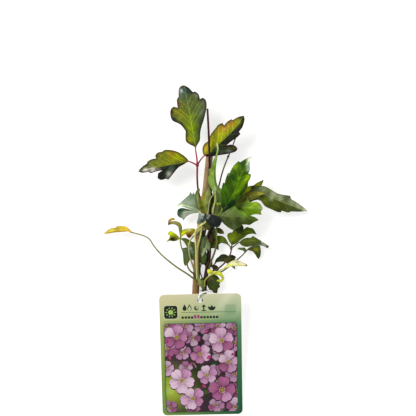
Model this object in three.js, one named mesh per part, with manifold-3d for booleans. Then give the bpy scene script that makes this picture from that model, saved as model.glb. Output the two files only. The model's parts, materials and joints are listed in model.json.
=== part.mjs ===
// A young clematis plant on a bamboo cane, laid down, with a blank hang label on a plastic loop.
// Millimetres, +Z up. The cane and the foot of the label lie on z = 0, and the shoots point along +Y.
//
// The plant is drawn as a plan, seen from an eye above it. A plan point is [u, v, level]: u runs to the
// right and v downwards in plan units, and the level says how high above the surface it is.

import * as THREE from 'three';
import Module from 'manifold-3d';
import { mergeVertices } from 'three/addons/utils/BufferGeometryUtils.js';

// Driving dimensions
const PLAN_UNIT = 0.95;
const LIFT = 0.014;
const PLAN_MIDDLE = { u: 205, v: 253.5 };
const EYE = { u: 208, v: 208, height: 700 };
const BLADE_THICKNESS = 0.65;
const CUP_LENGTH = 10;
const MIDRIB = { share: 0.4, radius: 0.65, tipRadius: 0.3 };
const CANE_DIAMETER = 7;
const CANE_SIDES = 12;
const LABEL_WIDTH = 76;
const LABEL_LENGTH = 118.4;
const LABEL_THICKNESS = 0.8;
const LABEL_CORNER = 4.6;
const LABEL_TOP_HEIGHT = 20;
const LABEL_TURN = 1.15;
const LABEL_HOLE = { radius: 2.5, fromTop: 6 };
const LOOP_RADIUS = 0.8;

// Fineness of the faceted surfaces, in plan units
const EDGE_STEP = 6;
const RIB_STEP = 6;
const INNER_STEP = 6;
const INNER_MARGIN = 2.2;
const STALK_STEP = 5;
const STALK_SIDES = 5;
const STEM_SIDES = 7;

const TONES = {
  bronze: '#6d6a1f',
  pale: '#8fae5a',
  glaucous: '#93aa8c',
  slate: '#3c4540',
  green: '#4f8a18',
  shade: '#5c6a3c',
  olive: '#7a8a2a',
  lime: '#b4cc20',
  dark: '#3c4c1e',
  yellow: '#dfe08a',
  lemon: '#d6d838',
  gold: '#dfbe30',
  brown: '#6b4520',
  bark: '#3a2a30',
  shoot: '#b4bd70',
};

// Compound leaves: round stalks, and blades. A blade has a rib from its base to its tip, the corners of
// its outline on the left and right of the rib, and how each half rises away from the rib and cups.
const LEAVES = {
  top_leaf: {
    tone: 'bronze',
    stalks: [
      {
        path: [
          [209.2, 213.7, 9.9], [206, 208.5, 9.9], [202.5, 203, 10], [199.8, 197, 11], [198, 189, 12.5],
          [197.2, 178, 15], [197.3, 165, 17.5],
        ],
        radii: [1, 0.85],
      },
      {
        path: [[197.3, 165.5, 17.4], [196.8, 158, 19], [195.6, 150, 20.5], [195, 144, 21.5]],
        radii: [0.85, 0.6],
      },
      {
        path: [[197.3, 165.3, 17.5], [193, 163, 18], [188, 161.3, 18], [185, 162, 18.2]],
        radii: [0.8, 0.55],
      },
      {
        path: [[197.3, 165.3, 17.5], [200.5, 160, 17.4], [204, 156, 17], [206.5, 154, 17]],
        radii: [0.8, 0.55],
      },
    ],
    blades: {
      middle: {
        rib: [[195.4, 147, 21], [192.5, 130, 24], [189.5, 112, 26.5], [186.5, 98, 27], [184.5, 85.3, 25]],
        left: [
          [189, 144.5], [185.6, 140], [185.4, 131], [180, 124.5], [172, 120.3], [170.4, 114],
          [172.3, 107], [177.7, 107.7], [176.9, 99.5], [178.5, 97], [179, 88.5], [181.5, 85.8],
        ],
        right: [
          [199, 142], [200.4, 136], [201, 128.5], [204.3, 118], [206.7, 105], [205.2, 99.3],
          [202.5, 97.6], [200, 99.2], [198.5, 94], [195, 91.4], [192.8, 92], [188.5, 87.6],
        ],
        rise: [-0.22, -0.28],
        cup: 0.05,
      },
      left: {
        rib: [[188.8, 161.2, 18], [180, 163.2, 20], [168, 165, 20.5], [155, 167.5, 19], [138.2, 171.5, 14]],
        left: [
          [184, 164.3], [178.5, 167.5], [173, 174], [168.5, 179.6], [165.5, 178.8], [161, 180],
          [157.6, 178.3], [158, 173.5], [162.5, 170.3], [156, 171.6], [151, 173.4], [148.5, 172],
          [142, 172.8],
        ],
        right: [
          [186.5, 158], [179, 152.5], [172, 150.2], [164.5, 150], [162.3, 151.6], [157.5, 152.7],
          [155, 156], [156.2, 158.3], [151, 159.4], [147.2, 161.8], [147, 163.4], [141.5, 167.3],
        ],
        rise: [-0.75, -0.12],
        cup: 0.06,
      },
      right: {
        rib: [[204, 156, 17], [213, 149, 18], [224, 138.8, 19.5], [235, 128, 21], [243.8, 115.5, 23]],
        left: [
          [202.9, 153], [202.5, 148.5], [204.5, 143.8], [208.5, 141], [210.5, 135], [215.5, 128.3],
          [218.5, 124.5], [222.5, 123], [224, 125.6], [227.5, 121.5], [231.3, 119.2], [232.8, 120],
          [238, 117],
        ],
        right: [
          [208, 156.8], [217, 155.6], [228, 153.8], [236, 151.3], [237.6, 148.8], [235.5, 146],
          [230.5, 144.6], [226.5, 145.5], [231, 141.6], [237, 137.4], [240.6, 134], [239, 131.8],
          [242.5, 127], [244.6, 119],
        ],
        rise: [-0.1, -0.38],
        cup: 0.05,
      },
    },
  },
  narrow_leaf: {
    tone: 'pale',
    stalks: [
      {
        path: [
          [212.9, 215.2, 10.4], [213.1, 209.5, 11.5], [214.8, 204, 12.6], [215.6, 198, 13.6],
          [215.4, 191, 14.6],
        ],
        radii: [0.95, 0.6],
      },
    ],
    blades: {
      blade: {
        rib: [
          [216, 204, 12.8], [215.2, 189, 15], [213.4, 178, 18], [214.3, 166, 21], [216.9, 153, 24],
          [217.9, 147.6, 25.5], [217.2, 142.3, 26.5],
        ],
        left: [
          [213.6, 193], [209.5, 187.3], [208, 182.5], [208.3, 175], [211, 168], [211.8, 163],
          [214, 157.5], [217, 151],
        ],
        right: [
          [220.5, 202], [222.3, 196], [220.5, 189], [217, 183.6], [215.6, 177], [216, 166], [217.6, 157],
          [219, 150],
        ],
        rise: [0.25, -0.3],
        cup: 0.03,
      },
    },
  },
  forked_leaf: {
    tone: 'glaucous',
    stalks: [
      {
        path: [
          [197.8, 277.2, 12.6], [197.4, 270, 12.5], [197, 260, 11.4], [197.2, 250, 10.8],
          [198.8, 242, 10.6], [200.4, 236, 10.6], [201.4, 230, 10.4], [201.5, 225.5, 10.2],
          [201.2, 219, 10.6], [200.8, 214, 12.2], [199.8, 211.4, 12.8],
        ],
        radii: [1.3, 0.7],
      },
      {
        path: [
          [197.2, 251, 11], [196.4, 247, 11.2], [195.4, 242.5, 11.7], [194.9, 237.5, 12.2],
          [195.2, 232.5, 12.6], [196.6, 229, 13], [199.6, 226, 13.4], [202.7, 224, 13.7],
          [205.3, 222, 13.6], [206.9, 218.5, 13.4], [207.8, 214.2, 13.4],
        ],
        radii: [1, 0.75],
      },
      {
        path: [
          [207.8, 214.2, 13.4], [208.8, 206, 15.8], [210.4, 199, 17.2], [213, 195, 17],
          [214.6, 193.3, 16.8],
        ],
        radii: [0.55, 0.4],
      },
    ],
    blades: {
      upper: {
        rib: [[199.8, 211.4, 12.9], [193, 207.8, 15], [185, 205.6, 16], [177.2, 205.5, 15]],
        left: [[195, 210.8], [188.5, 208.6], [182.5, 206.6]],
        right: [
          [198.6, 206], [196.3, 197.5], [193.6, 192.3], [192.2, 194.4], [190.3, 191.6], [189.2, 194.8],
          [183.5, 199.8],
        ],
        rise: [0.3, 0.25],
        cup: 0.05,
      },
      lower: {
        rib: [[200.3, 212.3, 12.4], [191.5, 211.3, 12.4], [183.5, 212, 12.2], [177, 213, 10.5]],
        left: [
          [196, 213], [190, 214.3], [186, 217], [183.6, 220.3], [182, 218], [179.8, 217.6],
          [177.6, 215.5],
        ],
        right: [[194.5, 210.9], [187, 208.8], [181, 208], [177.8, 209.6]],
        rise: [-0.35, -0.1],
        cup: 0.05,
        tone: 'dark',
      },
      upright: {
        rib: [[199.8, 211, 13.3], [198, 203, 16.3], [197.2, 196, 18], [198.9, 188.2, 19]],
        left: [[197.2, 206.5], [195.5, 200], [195.2, 194], [197, 190]],
        right: [[200.3, 206], [199.3, 200], [198.7, 194], [200, 189.3]],
        rise: [0.5, -0.5],
        cup: 0,
      },
      hanging: {
        rib: [[200.6, 211.2, 12.6], [201.3, 216, 13], [200.3, 220, 12.6], [197.2, 224.4, 11.2]],
        left: [[204.2, 211.6], [207.4, 213.4], [206, 218], [204, 221.4], [200.8, 222.8]],
        right: [[198.8, 213.5], [198.2, 218], [196.9, 222]],
        rise: [-0.3, -0.4],
        cup: 0.05,
      },
      dark_front: {
        rib: [[207.8, 213.8, 13.6], [212.5, 219, 17.4], [215, 223, 18], [216.5, 227.3, 17]],
        left: [[213.5, 216], [218, 217.6], [222.2, 220.8], [220.8, 224.2], [219, 227]],
        right: [[207.6, 217.5], [206.5, 220.5], [207.6, 223.5], [211, 226], [213.8, 226.8]],
        rise: [-0.05, -0.2],
        cup: 0.05,
        tone: 'slate',
      },
      olive: {
        rib: [[206.9, 214.2, 13.4], [204.8, 205, 15.4], [205.5, 197, 16.4], [208.8, 187, 17]],
        left: [[201.6, 209.8], [200.6, 204.5], [200.8, 199], [202.8, 195], [205.8, 190]],
        right: [[208.2, 210], [209.4, 204], [210, 197], [210, 190.5]],
        rise: [-0.05, -0.15],
        cup: 0.04,
        tone: 'olive',
      },
    },
  },
  great_leaf: {
    tone: 'green',
    stalks: [
      {
        path: [
          [208.9, 270.2, 7.1], [209.8, 266, 8.2], [211.6, 260, 9], [214.7, 252, 9.6], [216.2, 246, 9.8],
          [216.6, 239, 9.8], [216.4, 231, 9.9], [216.8, 224, 10.4], [217.8, 217, 13], [218.6, 214, 14.4],
        ],
        radii: [0.95, 0.8],
      },
      {
        path: [
          [218, 216, 13.6], [220.4, 213.3, 15.8], [222, 209.5, 17], [221.6, 205.6, 17.2],
          [219.2, 203.5, 17], [216.6, 203.2, 16.8],
        ],
        radii: [0.55, 0.35],
      },
    ],
    blades: {
      high: {
        rib: [
          [219, 214.6, 15], [227.5, 204, 20], [235, 190.5, 25], [240.5, 176, 29], [246, 165, 31.5],
          [252, 156.7, 33],
        ],
        left: [
          [222.4, 209], [222.6, 199], [221.8, 189], [223, 182.7], [225.8, 182.2], [227.8, 173],
          [231, 170.3], [234, 165.3], [238.4, 161], [240, 162.3], [246.5, 158.4],
        ],
        right: [
          [224, 212.6], [229, 208.8], [235, 203.8], [237, 199.8], [241, 196.5], [244.5, 191.5],
          [247.6, 187], [248.3, 182], [250.4, 178], [250.9, 174.2], [248.4, 173.8], [249.9, 169],
          [249.6, 163.5],
        ],
        rise: [-0.3, -0.18],
        cup: 0.05,
      },
      wide: {
        rib: [[218.8, 215.2, 15], [229, 216.2, 19.5], [240, 216.6, 22], [250, 218, 22], [259, 220, 19]],
        left: [
          [222, 214.6], [228, 208.8], [231.8, 206], [235.5, 206.6], [238.8, 210.3], [243.5, 211],
          [248, 214.8], [254.5, 217],
        ],
        right: [
          [221, 220.5], [225, 225], [229, 228], [232.5, 230], [236.5, 228.4], [240, 226.6], [242, 224.6],
          [246, 224.6], [249.5, 225], [254, 222.3],
        ],
        rise: [-0.15, -0.3],
        cup: 0.06,
      },
      low: {
        rib: [[218.5, 214.9, 14.1], [230, 222, 15], [238.5, 227, 14.8], [242.5, 232.3, 13.2]],
        left: [[229, 218.5], [237, 221], [244.5, 225], [246.4, 228], [245, 230.5]],
        right: [[227, 225.5], [233.5, 230.5], [237.8, 234.4], [240.5, 233.5]],
        rise: [-0.1, -0.1],
        cup: 0.04,
        tone: 'dark',
      },
      small: {
        rib: [[218, 216, 13.8], [217.6, 211, 13.6], [218.2, 204.4, 15]],
        left: [[215.2, 213.5], [214.6, 208.5], [215.8, 205.3]],
        right: [[219.8, 213.5], [220.6, 208.8], [220, 205.6]],
        rise: [0, 0],
        cup: 0.04,
        tone: 'olive',
      },
    },
  },
  far_leaf: {
    tone: 'shade',
    stalks: [
      {
        path: [[214.2, 219.2, 7.3], [219, 214.5, 8], [227, 210, 8.6], [234, 206, 9.4], [238, 203.5, 9.6]],
        radii: [0.85, 0.7],
      },
    ],
    blades: {
      long: {
        rib: [
          [236, 204.6, 9.6], [248, 197, 13], [262, 194.5, 16.4], [275, 199, 16], [290, 205, 12],
          [307.5, 210.7, 5],
        ],
        left: [
          [240, 199.5], [247, 193], [252.5, 188.8], [257, 186.6], [262, 185.8], [267, 187.3],
          [272.5, 190.5], [278, 193.6], [290.3, 195.8], [291, 199], [299, 204],
        ],
        right: [
          [242, 205], [248, 203.5], [254, 200.6], [258, 199.7], [261, 201], [265, 206.2], [271, 209.2],
          [278, 212.2], [280.8, 212.4], [281.8, 210.8], [288.3, 212.6], [290.6, 211.7], [300, 211.7],
        ],
        rise: [-0.12, -0.3],
        cup: 0.05,
      },
      behind: {
        rib: [[236, 204.4, 9.3], [243, 195.6, 8.8], [250, 188.5, 9], [257, 184, 9.2], [263.8, 179.8, 9.2]],
        left: [[237.5, 199], [242, 193], [246.8, 187.6], [249.3, 186], [253, 185.5], [258, 182.3]],
        right: [[241, 201.5], [247, 195.5], [252, 190.5], [256, 187.8], [261.4, 185.4], [262.8, 182.3]],
        rise: [-0.1, -0.1],
        cup: 0.03,
        tone: 'bronze',
      },
      folded: {
        rib: [[237, 204, 10.2], [245, 198.8, 15], [254, 195.4, 19], [265.2, 193.3, 20]],
        left: [[240, 199], [247, 193.8], [253, 191.4], [259, 191.8]],
        right: [[243, 203], [249, 201], [254.5, 198.5], [260, 195.5]],
        rise: [-0.1, -0.15],
        cup: 0.03,
        tone: 'olive',
      },
      lime: {
        rib: [[235.6, 205.2, 9.8], [243, 207.2, 14.4], [252, 207.8, 18], [262.9, 208.6, 17]],
        left: [
          [238.5, 203.4], [243, 201.8], [246.2, 200.2], [247.4, 197.4], [248.8, 201], [250, 202.4],
          [256.8, 202], [260.8, 204.6],
        ],
        right: [[239, 210.5], [244, 213.4], [250, 215.6], [255, 214.3], [261.6, 214.9], [260.9, 211.5]],
        rise: [0.2, -0.2],
        cup: 0.04,
        tone: 'lime',
      },
    },
  },
  right_leaf: {
    tone: 'green',
    stalks: [
      {
        path: [
          [208.8, 272.8, 6.9], [213, 270.9, 7.5], [219, 267.8, 7.8], [224, 263.6, 8], [228.5, 258, 8.2],
          [230.7, 253, 8.2], [231.3, 248, 8.2],
        ],
        radii: [0.85, 0.7],
      },
      {
        path: [[231.3, 248.4, 8.2], [229.6, 246, 7.8], [227, 243.8, 7.5]],
        radii: [0.65, 0.5],
      },
      {
        path: [[231.3, 248.4, 8.2], [231.8, 245.5, 8.4], [233, 241.5, 8.9]],
        radii: [0.65, 0.5],
      },
      {
        path: [[231.3, 248.2, 8.2], [235, 245.4, 8.5], [239.5, 242.2, 8.9], [243.5, 241.4, 9.4]],
        radii: [0.6, 0.5],
      },
    ],
    blades: {
      inner: {
        rib: [[229, 245.2, 7.6], [224, 241.8, 7.3], [218, 241.2, 6.9], [211.8, 243.6, 6.4]],
        left: [
          [225.5, 243.8], [221.5, 242.8], [218.7, 244.6], [218.7, 250.2], [215.5, 248.6], [212.2, 248],
        ],
        right: [[227.6, 242], [225.2, 237.8], [221.5, 235.8], [216.5, 236], [212.8, 239]],
        rise: [-0.1, -0.08],
        cup: 0.04,
        tone: 'dark',
      },
      upper: {
        rib: [
          [231.7, 245.2, 8.4], [234, 239.5, 9], [240, 235, 9.2], [248, 231.5, 9.2], [256.6, 234.6, 7.8],
        ],
        left: [
          [229, 241], [227.2, 236.5], [228, 233.2], [232.3, 231.2], [234.2, 229.4], [236.6, 229.8],
          [238, 232], [243, 229.6], [247.5, 227], [250.5, 227.4], [254.5, 230],
        ],
        right: [[236, 243.6], [241, 239.6], [244.8, 237], [247.5, 234.8], [252.5, 233.7]],
        rise: [-0.1, -0.1],
        cup: 0.05,
      },
      outer: {
        rib: [[239.2, 242.2, 8.9], [246, 241.2, 10.4], [254, 240.3, 11.4], [262.2, 241.3, 10.4]],
        left: [[242.5, 239.2], [247, 238], [250.7, 237.7], [253, 236.3], [257.5, 238.1]],
        right: [[241, 244.8], [245.5, 246.8], [251.5, 246], [257, 244.3]],
        rise: [-0.12, -0.2],
        cup: 0.05,
      },
    },
  },
  drooping_leaf: {
    tone: 'shade',
    stalks: [
      {
        path: [
          [207.5, 277.8, 6.8], [213, 275.5, 7], [218, 273.3, 6.6], [222.5, 271.2, 6.3],
          [229, 266.5, 6.2], [237, 260, 6.2], [243, 254.6, 6.4], [246.6, 250.6, 6.8], [249, 248.4, 7],
        ],
        radii: [0.75, 0.6],
      },
    ],
    blades: {
      down: {
        rib: [[247, 250, 6.8], [252, 247, 7.4], [256.8, 250, 6.6], [258.7, 259.3, 2]],
        left: [[249, 247.6], [254.5, 245.5], [260.2, 246], [260.9, 251], [260.3, 256]],
        right: [[249.8, 250.6], [252.8, 251.4], [255.6, 255], [257.3, 258]],
        rise: [-0.1, -0.05],
        cup: 0.04,
      },
      tipped: {
        rib: [[249.5, 248, 7.2], [256, 244.8, 8], [262, 243.4, 8.2], [268.2, 247.3, 6.6]],
        left: [[253, 244.9], [259, 242.4], [263.5, 242.6], [266.5, 245.2]],
        right: [[254, 247], [260, 245.6], [264.3, 246.5]],
        rise: [-0.1, 0.05],
        cup: 0,
        tone: 'glaucous',
      },
      inward: {
        rib: [[247.3, 250.4, 6.8], [242.5, 248.8, 7], [237.3, 248.6, 6.6]],
        left: [[244.8, 252.3], [242.5, 250.3], [239.6, 249.8]],
        right: [[244.5, 247.4], [242, 247.6], [239.5, 247.6]],
        rise: [0, 0],
        cup: 0,
      },
    },
  },
  under_leaf: {
    tone: 'dark',
    stalks: [
      {
        path: [[209.9, 266, 4.8], [212.6, 265.6, 5], [216, 262.6, 5.2]],
        radii: [0.7, 0.5],
      },
      {
        path: [[211, 266.4, 4.8], [213.5, 268, 4.9]],
        radii: [0.6, 0.45],
      },
    ],
    blades: {
      outer: {
        rib: [[214.8, 263, 5.2], [221, 259.6, 5.3], [229, 258.2, 5], [236.3, 257, 4.2]],
        left: [[215.6, 259.6], [218.6, 256.8], [221.5, 254.4], [225, 254.2], [228, 255.6], [232.5, 254.8]],
        right: [[218.5, 262], [223.5, 261.6], [229.5, 264], [231, 260.8], [235.9, 260.2], [234.5, 258.4]],
        rise: [-0.05, -0.1],
        cup: 0.04,
      },
      inner: {
        rib: [[212.2, 267.2, 4.9], [215.4, 267.8, 5], [219, 270, 4.4]],
        left: [[213, 265], [216, 264.9], [218.3, 267.2]],
        right: [[213, 270.3], [216.8, 271.3]],
        rise: [0, -0.1],
        cup: 0.03,
      },
    },
  },
  curled_leaf: {
    tone: 'yellow',
    stalks: [
      {
        path: [
          [204.5, 285.1, 12.1], [204.8, 281, 13.4], [207.5, 277.4, 14.2], [211, 275, 14.6],
          [214.5, 273.3, 14.8], [217.5, 272, 14.8], [221.5, 269.8, 14.8], [226, 267, 15.2],
        ],
        radii: [0.7, 0.5],
      },
    ],
    blades: {
      outer: {
        rib: [
          [220.5, 270.4, 14.8], [226, 267, 15.4], [232, 264.2, 15.8], [240, 263.8, 15.2],
          [247.6, 265.3, 13.6],
        ],
        left: [[224, 267.3], [228, 263.4], [232, 261], [236.3, 260], [241.5, 261.7]],
        right: [[224.8, 268.8], [229.5, 266.7], [236, 266.2], [242.5, 266.1]],
        rise: [0.12, -0.1],
        cup: 0,
      },
      inner: {
        rib: [[215, 273.1, 14.8], [211, 271.7, 15.4], [207.2, 271, 15.2]],
        left: [[212, 274.2], [209.6, 274.3], [207.6, 273]],
        right: [[212, 270.3], [209.5, 269.2], [207.6, 269.6]],
        rise: [-0.3, -0.3],
        cup: 0.05,
        tone: 'lemon',
      },
      hooked: {
        rib: [
          [213.4, 273.4, 14.8], [217.4, 273, 15], [221.3, 274.8, 15], [223.4, 278.4, 14.6],
          [221, 281, 14], [216.8, 280.4, 13.4],
        ],
        left: [[215.5, 271], [219.4, 271.2], [222.8, 274.2], [224.6, 278.4], [222.2, 282.2], [218.8, 282]],
        right: [[215.6, 275], [218.8, 275.3], [221, 277], [221.9, 278.9], [220.4, 279.9], [218, 279.7]],
        rise: [-0.2, -0.35],
        cup: 0,
      },
    },
  },
  low_leaf: {
    tone: 'dark',
    stalks: [
      {
        path: [[207.1, 284.6, 7.5], [208.8, 282.2, 8.2], [211.5, 279.8, 8.8]],
        radii: [0.7, 0.5],
      },
    ],
    blades: {
      blade: {
        rib: [[207.6, 283.9, 7.9], [210.6, 280.6, 8.8], [214.5, 278.2, 9.4], [219.7, 279.6, 9]],
        left: [[208.4, 280.6], [212, 277.4], [215.5, 276.2], [218.5, 277.6]],
        right: [
          [208, 287.2], [210.2, 290.4], [213.2, 292.6], [217.2, 293.4], [217.9, 288.8], [220.2, 286.7],
          [219.4, 284.4], [220.3, 282.4],
        ],
        rise: [-0.2, -0.12],
        cup: 0.05,
      },
    },
  },
  left_leaf: {
    tone: 'olive',
    stalks: [
      {
        path: [
          [195.3, 277.4, 11.4], [193.4, 273.6, 10.4], [190.5, 271.2, 9.4], [188, 267.5, 8.6],
          [187, 263, 8.2], [185.5, 258, 8], [183.3, 252.5, 8.2], [181.3, 246.5, 9], [180.3, 241, 10],
          [180.3, 237.5, 10.6], [180.3, 233, 12.2],
        ],
        radii: [0.8, 0.55],
      },
    ],
    blades: {
      crook: {
        rib: [
          [180.3, 238, 10.6], [180.3, 231, 13.2], [180.2, 226, 15.6], [177, 222.8, 17.2],
          [172, 222.6, 17.6], [168.2, 225.4, 16.6],
        ],
        left: [[179.2, 232], [178.2, 226.8], [175.6, 224.8], [172.5, 224.3], [170, 224.6]],
        right: [[181.6, 232], [182.1, 227], [180, 222.8], [176.2, 221.2], [171.8, 221.3], [168, 222.4]],
        rise: [-0.3, -0.3],
        cup: 0,
      },
      crook_end: {
        rib: [[170.6, 223, 17.5], [168.9, 221.2, 18.4], [171, 219.3, 19], [175.4, 219.8, 18.6]],
        left: [[168.2, 222.6], [168.4, 219.9], [171, 218.2], [174, 218.1]],
        right: [[170.4, 222.8], [170.6, 221.2], [172, 220.4]],
        rise: [0.2, -0.2],
        cup: 0,
        tone: 'gold',
      },
      left: {
        rib: [[179.8, 238.6, 10.6], [174.5, 236.6, 13], [170.5, 237.6, 13], [165.8, 242.4, 10.4]],
        left: [[177.5, 240.3], [174, 241.3], [170, 240.7]],
        right: [
          [178.2, 236], [174.6, 233.2], [171, 230.8], [168.6, 232.2], [167.6, 234.2], [169.7, 235.4],
          [169.4, 238],
        ],
        rise: [-0.3, 0.1],
        cup: 0,
        tone: 'lemon',
      },
      right: {
        rib: [[180.8, 238, 10.8], [182.5, 233.6, 12.2], [187, 231.4, 12.2], [194.2, 230.6, 11.2]],
        left: [[180.9, 233], [182.5, 230], [186, 229], [190.5, 228.6], [193.6, 229]],
        right: [[183.8, 235], [186.5, 234], [188.2, 237], [190, 238], [192.6, 235]],
        rise: [0.1, -0.1],
        cup: 0,
        tone: 'olive',
      },
      inner: {
        rib: [
          [180.4, 238.6, 10.5], [186, 241.6, 9], [190.5, 245.5, 7.6], [193.6, 253, 6],
          [194.6, 261.6, 4.6],
        ],
        left: [[184.5, 237.9], [189, 239.6], [193.2, 241], [195, 246], [195.2, 252], [195, 257.5]],
        right: [[184.5, 242.8], [187.5, 246.6], [190, 251.6], [191.6, 257]],
        rise: [-0.1, -0.1],
        cup: 0.04,
        tone: 'green',
      },
      hanging: {
        rib: [[181.9, 248.3, 8.8], [185.6, 252, 8.9], [187, 258, 8.7], [185.2, 266.2, 8]],
        left: [[186.5, 247.3], [189, 250.5], [190.2, 256], [189.5, 260.6], [187, 264.8]],
        right: [[182.7, 252], [183.2, 258], [183.8, 263.6]],
        rise: [-0.15, -0.1],
        cup: 0.04,
        tone: 'glaucous',
      },
    },
  },
  inner_leaf: {
    tone: 'dark',
    stalks: [
      {
        path: [[213, 227.5, 7.3], [214, 228.8, 7.6], [215.8, 229.6, 7.7]],
        radii: [0.65, 0.5],
      },
    ],
    blades: {
      outer: {
        rib: [[214.6, 229, 7.8], [219, 230.4, 7.8], [224.2, 233.6, 6.8]],
        left: [[217, 227.2], [221, 228.6], [223.5, 231.2]],
        right: [[216, 231.6], [219.5, 233.7], [222.3, 234]],
        rise: [-0.1, -0.1],
        cup: 0.04,
      },
      inner: {
        rib: [[214, 228.4, 7.6], [213.8, 233.5, 8.3], [214.6, 238.4, 8.1]],
        left: [[215.8, 231.8], [216.9, 236]],
        right: [[211.4, 232.4], [211.3, 236.6]],
        rise: [-0.1, -0.1],
        cup: 0.03,
        tone: 'green',
      },
      withered: {
        rib: [[213.8, 229, 7.8], [211, 235.6, 10], [210.6, 240, 10.6], [211.6, 243.6, 10]],
        left: [[212.4, 236], [213, 239.2], [212.8, 242]],
        right: [[209.2, 236.6], [208.6, 240], [209.6, 242.6]],
        rise: [0.1, 0.1],
        cup: 0,
        tone: 'brown',
      },
    },
  },
  middle_leaf: {
    tone: 'glaucous',
    stalks: [
      {
        path: [[212.3, 225.4, 8.9], [209.4, 230, 9.2], [207.2, 235, 9.6], [206.2, 239, 9.7]],
        radii: [0.65, 0.5],
      },
    ],
    blades: {
      long: {
        rib: [[206.8, 236.4, 9.6], [206.6, 244, 9.8], [204.6, 251, 9.8], [201.8, 257.3, 9.5]],
        left: [[209.2, 240.5], [210.3, 245.5], [209.3, 251.8], [207.7, 249], [205.4, 252], [203.6, 255.4]],
        right: [[204.5, 241], [203.8, 245.5], [202.4, 250.5], [201.2, 254.4]],
        rise: [-0.1, -0.08],
        cup: 0.04,
      },
      short: {
        rib: [[206.8, 236.2, 9.5], [204.3, 237, 9.2], [203.2, 240.6, 8.9], [204, 246.4, 8.8]],
        left: [[205.8, 238.6], [205, 242]],
        right: [[205.5, 234.6], [202.6, 234.4], [201.6, 237.6], [202, 242]],
        rise: [0, 0],
        cup: 0,
        tone: 'green',
      },
      bract: {
        rib: [[210.4, 228.4, 9], [207.5, 226.2, 10.4], [203.9, 228, 10.2]],
        left: [[208.8, 230], [206, 229.8], [204.2, 229.4]],
        right: [[209.8, 223.6], [206.8, 222], [203.8, 224]],
        rise: [0, 0],
        cup: 0,
        tone: 'olive',
      },
    },
  },
  back_leaf: {
    tone: 'dark',
    stalks: [
      {
        path: [
          [203.6, 281.2, 7.5], [201.8, 276.8, 7.8], [200.3, 272.5, 7.8], [200.3, 268, 7.8],
          [201.4, 263.6, 7.9],
        ],
        radii: [0.6, 0.45],
      },
    ],
    blades: {
      blade: {
        rib: [[201.2, 264.4, 7.9], [202.6, 260, 8.2], [204.2, 255, 8.2], [205.8, 250.5, 7.8]],
        left: [[200.2, 261.5], [200.2, 256.5], [202.6, 252.5]],
        right: [[204.2, 264.6], [206.4, 260.3], [207, 255]],
        rise: [-0.04, -0.06],
        cup: 0.02,
      },
    },
  },
  yellow_leaf: {
    tone: 'gold',
    stalks: [
      {
        path: [
          [195.5, 280.3, 12.2], [191, 276.6, 11.2], [186, 273.1, 10.6], [178, 268, 10.8],
          [170, 262, 11.4], [163, 256.2, 12], [158, 251, 12.6], [155, 247.4, 13], [152.4, 243.6, 13.4],
          [150, 239.9, 13.6], [147.6, 237.6, 13.6], [143, 235.5, 13.4], [138, 234, 13], [130, 232, 12.4],
        ],
        radii: [0.85, 0.55],
      },
    ],
    blades: {
      blade: {
        rib: [[133, 232.6, 12.8], [126, 230.3, 12.6], [117, 230.3, 11], [110, 231.2, 8.6], [103, 233.7, 5]],
        left: [[128, 231.6], [122, 231.9], [115, 232.5], [108.5, 233.6]],
        right: [
          [131, 230.9], [128.6, 228.4], [125.5, 226.5], [117.2, 225.9], [115.8, 227.5], [110.5, 228.5],
          [106.5, 231.2],
        ],
        rise: [-0.8, -0.1],
        cup: 0,
      },
    },
  },
};

// Bare stems: a path, and the radius along it as [fraction of the length, millimetres]
const STEMS = {
  old_stem: {
    tone: 'bark',
    path: [
      [203, 335, 4.2], [203.6, 315, 4.4], [204, 300, 4.6], [204.4, 290, 4.8], [204.9, 283, 4.8],
      [205.6, 276, 4.6], [206.8, 268, 4.4], [207.8, 260, 4.2], [208.4, 252, 4.2], [208.4, 244, 4.6],
      [209, 236, 5], [210.8, 228, 5.8], [211.6, 219, 7.2], [211, 210, 8.4], [210.9, 200, 9.2],
      [210.8, 190, 10.2], [210.2, 178, 13], [209.8, 168, 15.8], [209.5, 158, 18.6], [209.3, 150, 20.6],
      [208.9, 140, 22.6], [208.3, 125, 25.2], [207.5, 109, 28],
    ],
    radii: [[0, 2.2], [0.25, 2.2], [0.4, 2], [0.55, 1.4], [0.65, 1.1], [0.8, 1], [1, 0.9]],
  },
  young_shoot: {
    tone: 'shoot',
    path: [
      [204.3, 290.5, 9.2], [202.8, 286.6, 10.2], [201, 283, 11], [199.3, 280, 11.8],
      [198.6, 278.8, 12.1],
    ],
    radii: [[0, 1.3], [0.35, 2.1], [0.75, 2.4], [1, 1.7]],
  },
  dead_stalk: {
    tone: 'brown',
    path: [
      [212.3, 204.2, 10.6], [214.6, 197, 11], [218.3, 188, 11.2], [219.4, 184, 11.2], [222, 173.5, 10.6],
      [226, 162, 10], [229.5, 153.5, 9.6], [232.6, 146, 9.8], [235.4, 138, 10.4],
    ],
    radii: [[0, 0.75], [1, 0.55]],
  },
  twining_stalk: {
    tone: 'shoot',
    path: [
      [194.6, 271.2, 12.5], [193.2, 266.5, 12.1], [191.4, 261.5, 11.7], [190, 257, 11.4],
      [188.9, 250.5, 11.4], [188.8, 245, 11.2], [190.3, 240.5, 10.4], [193, 236.8, 9.3],
      [196.3, 233.2, 8.6], [199.5, 230, 8.2], [203, 227.6, 8.1], [206.5, 226.2, 8],
    ],
    radii: [[0, 0.85], [1, 0.6]],
  },
};

const CANE_ENDS = { top: [209.9, 152], foot: [190.9, 339] };

const LABEL_TOP = { u: 200, v: 294 };

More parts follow.
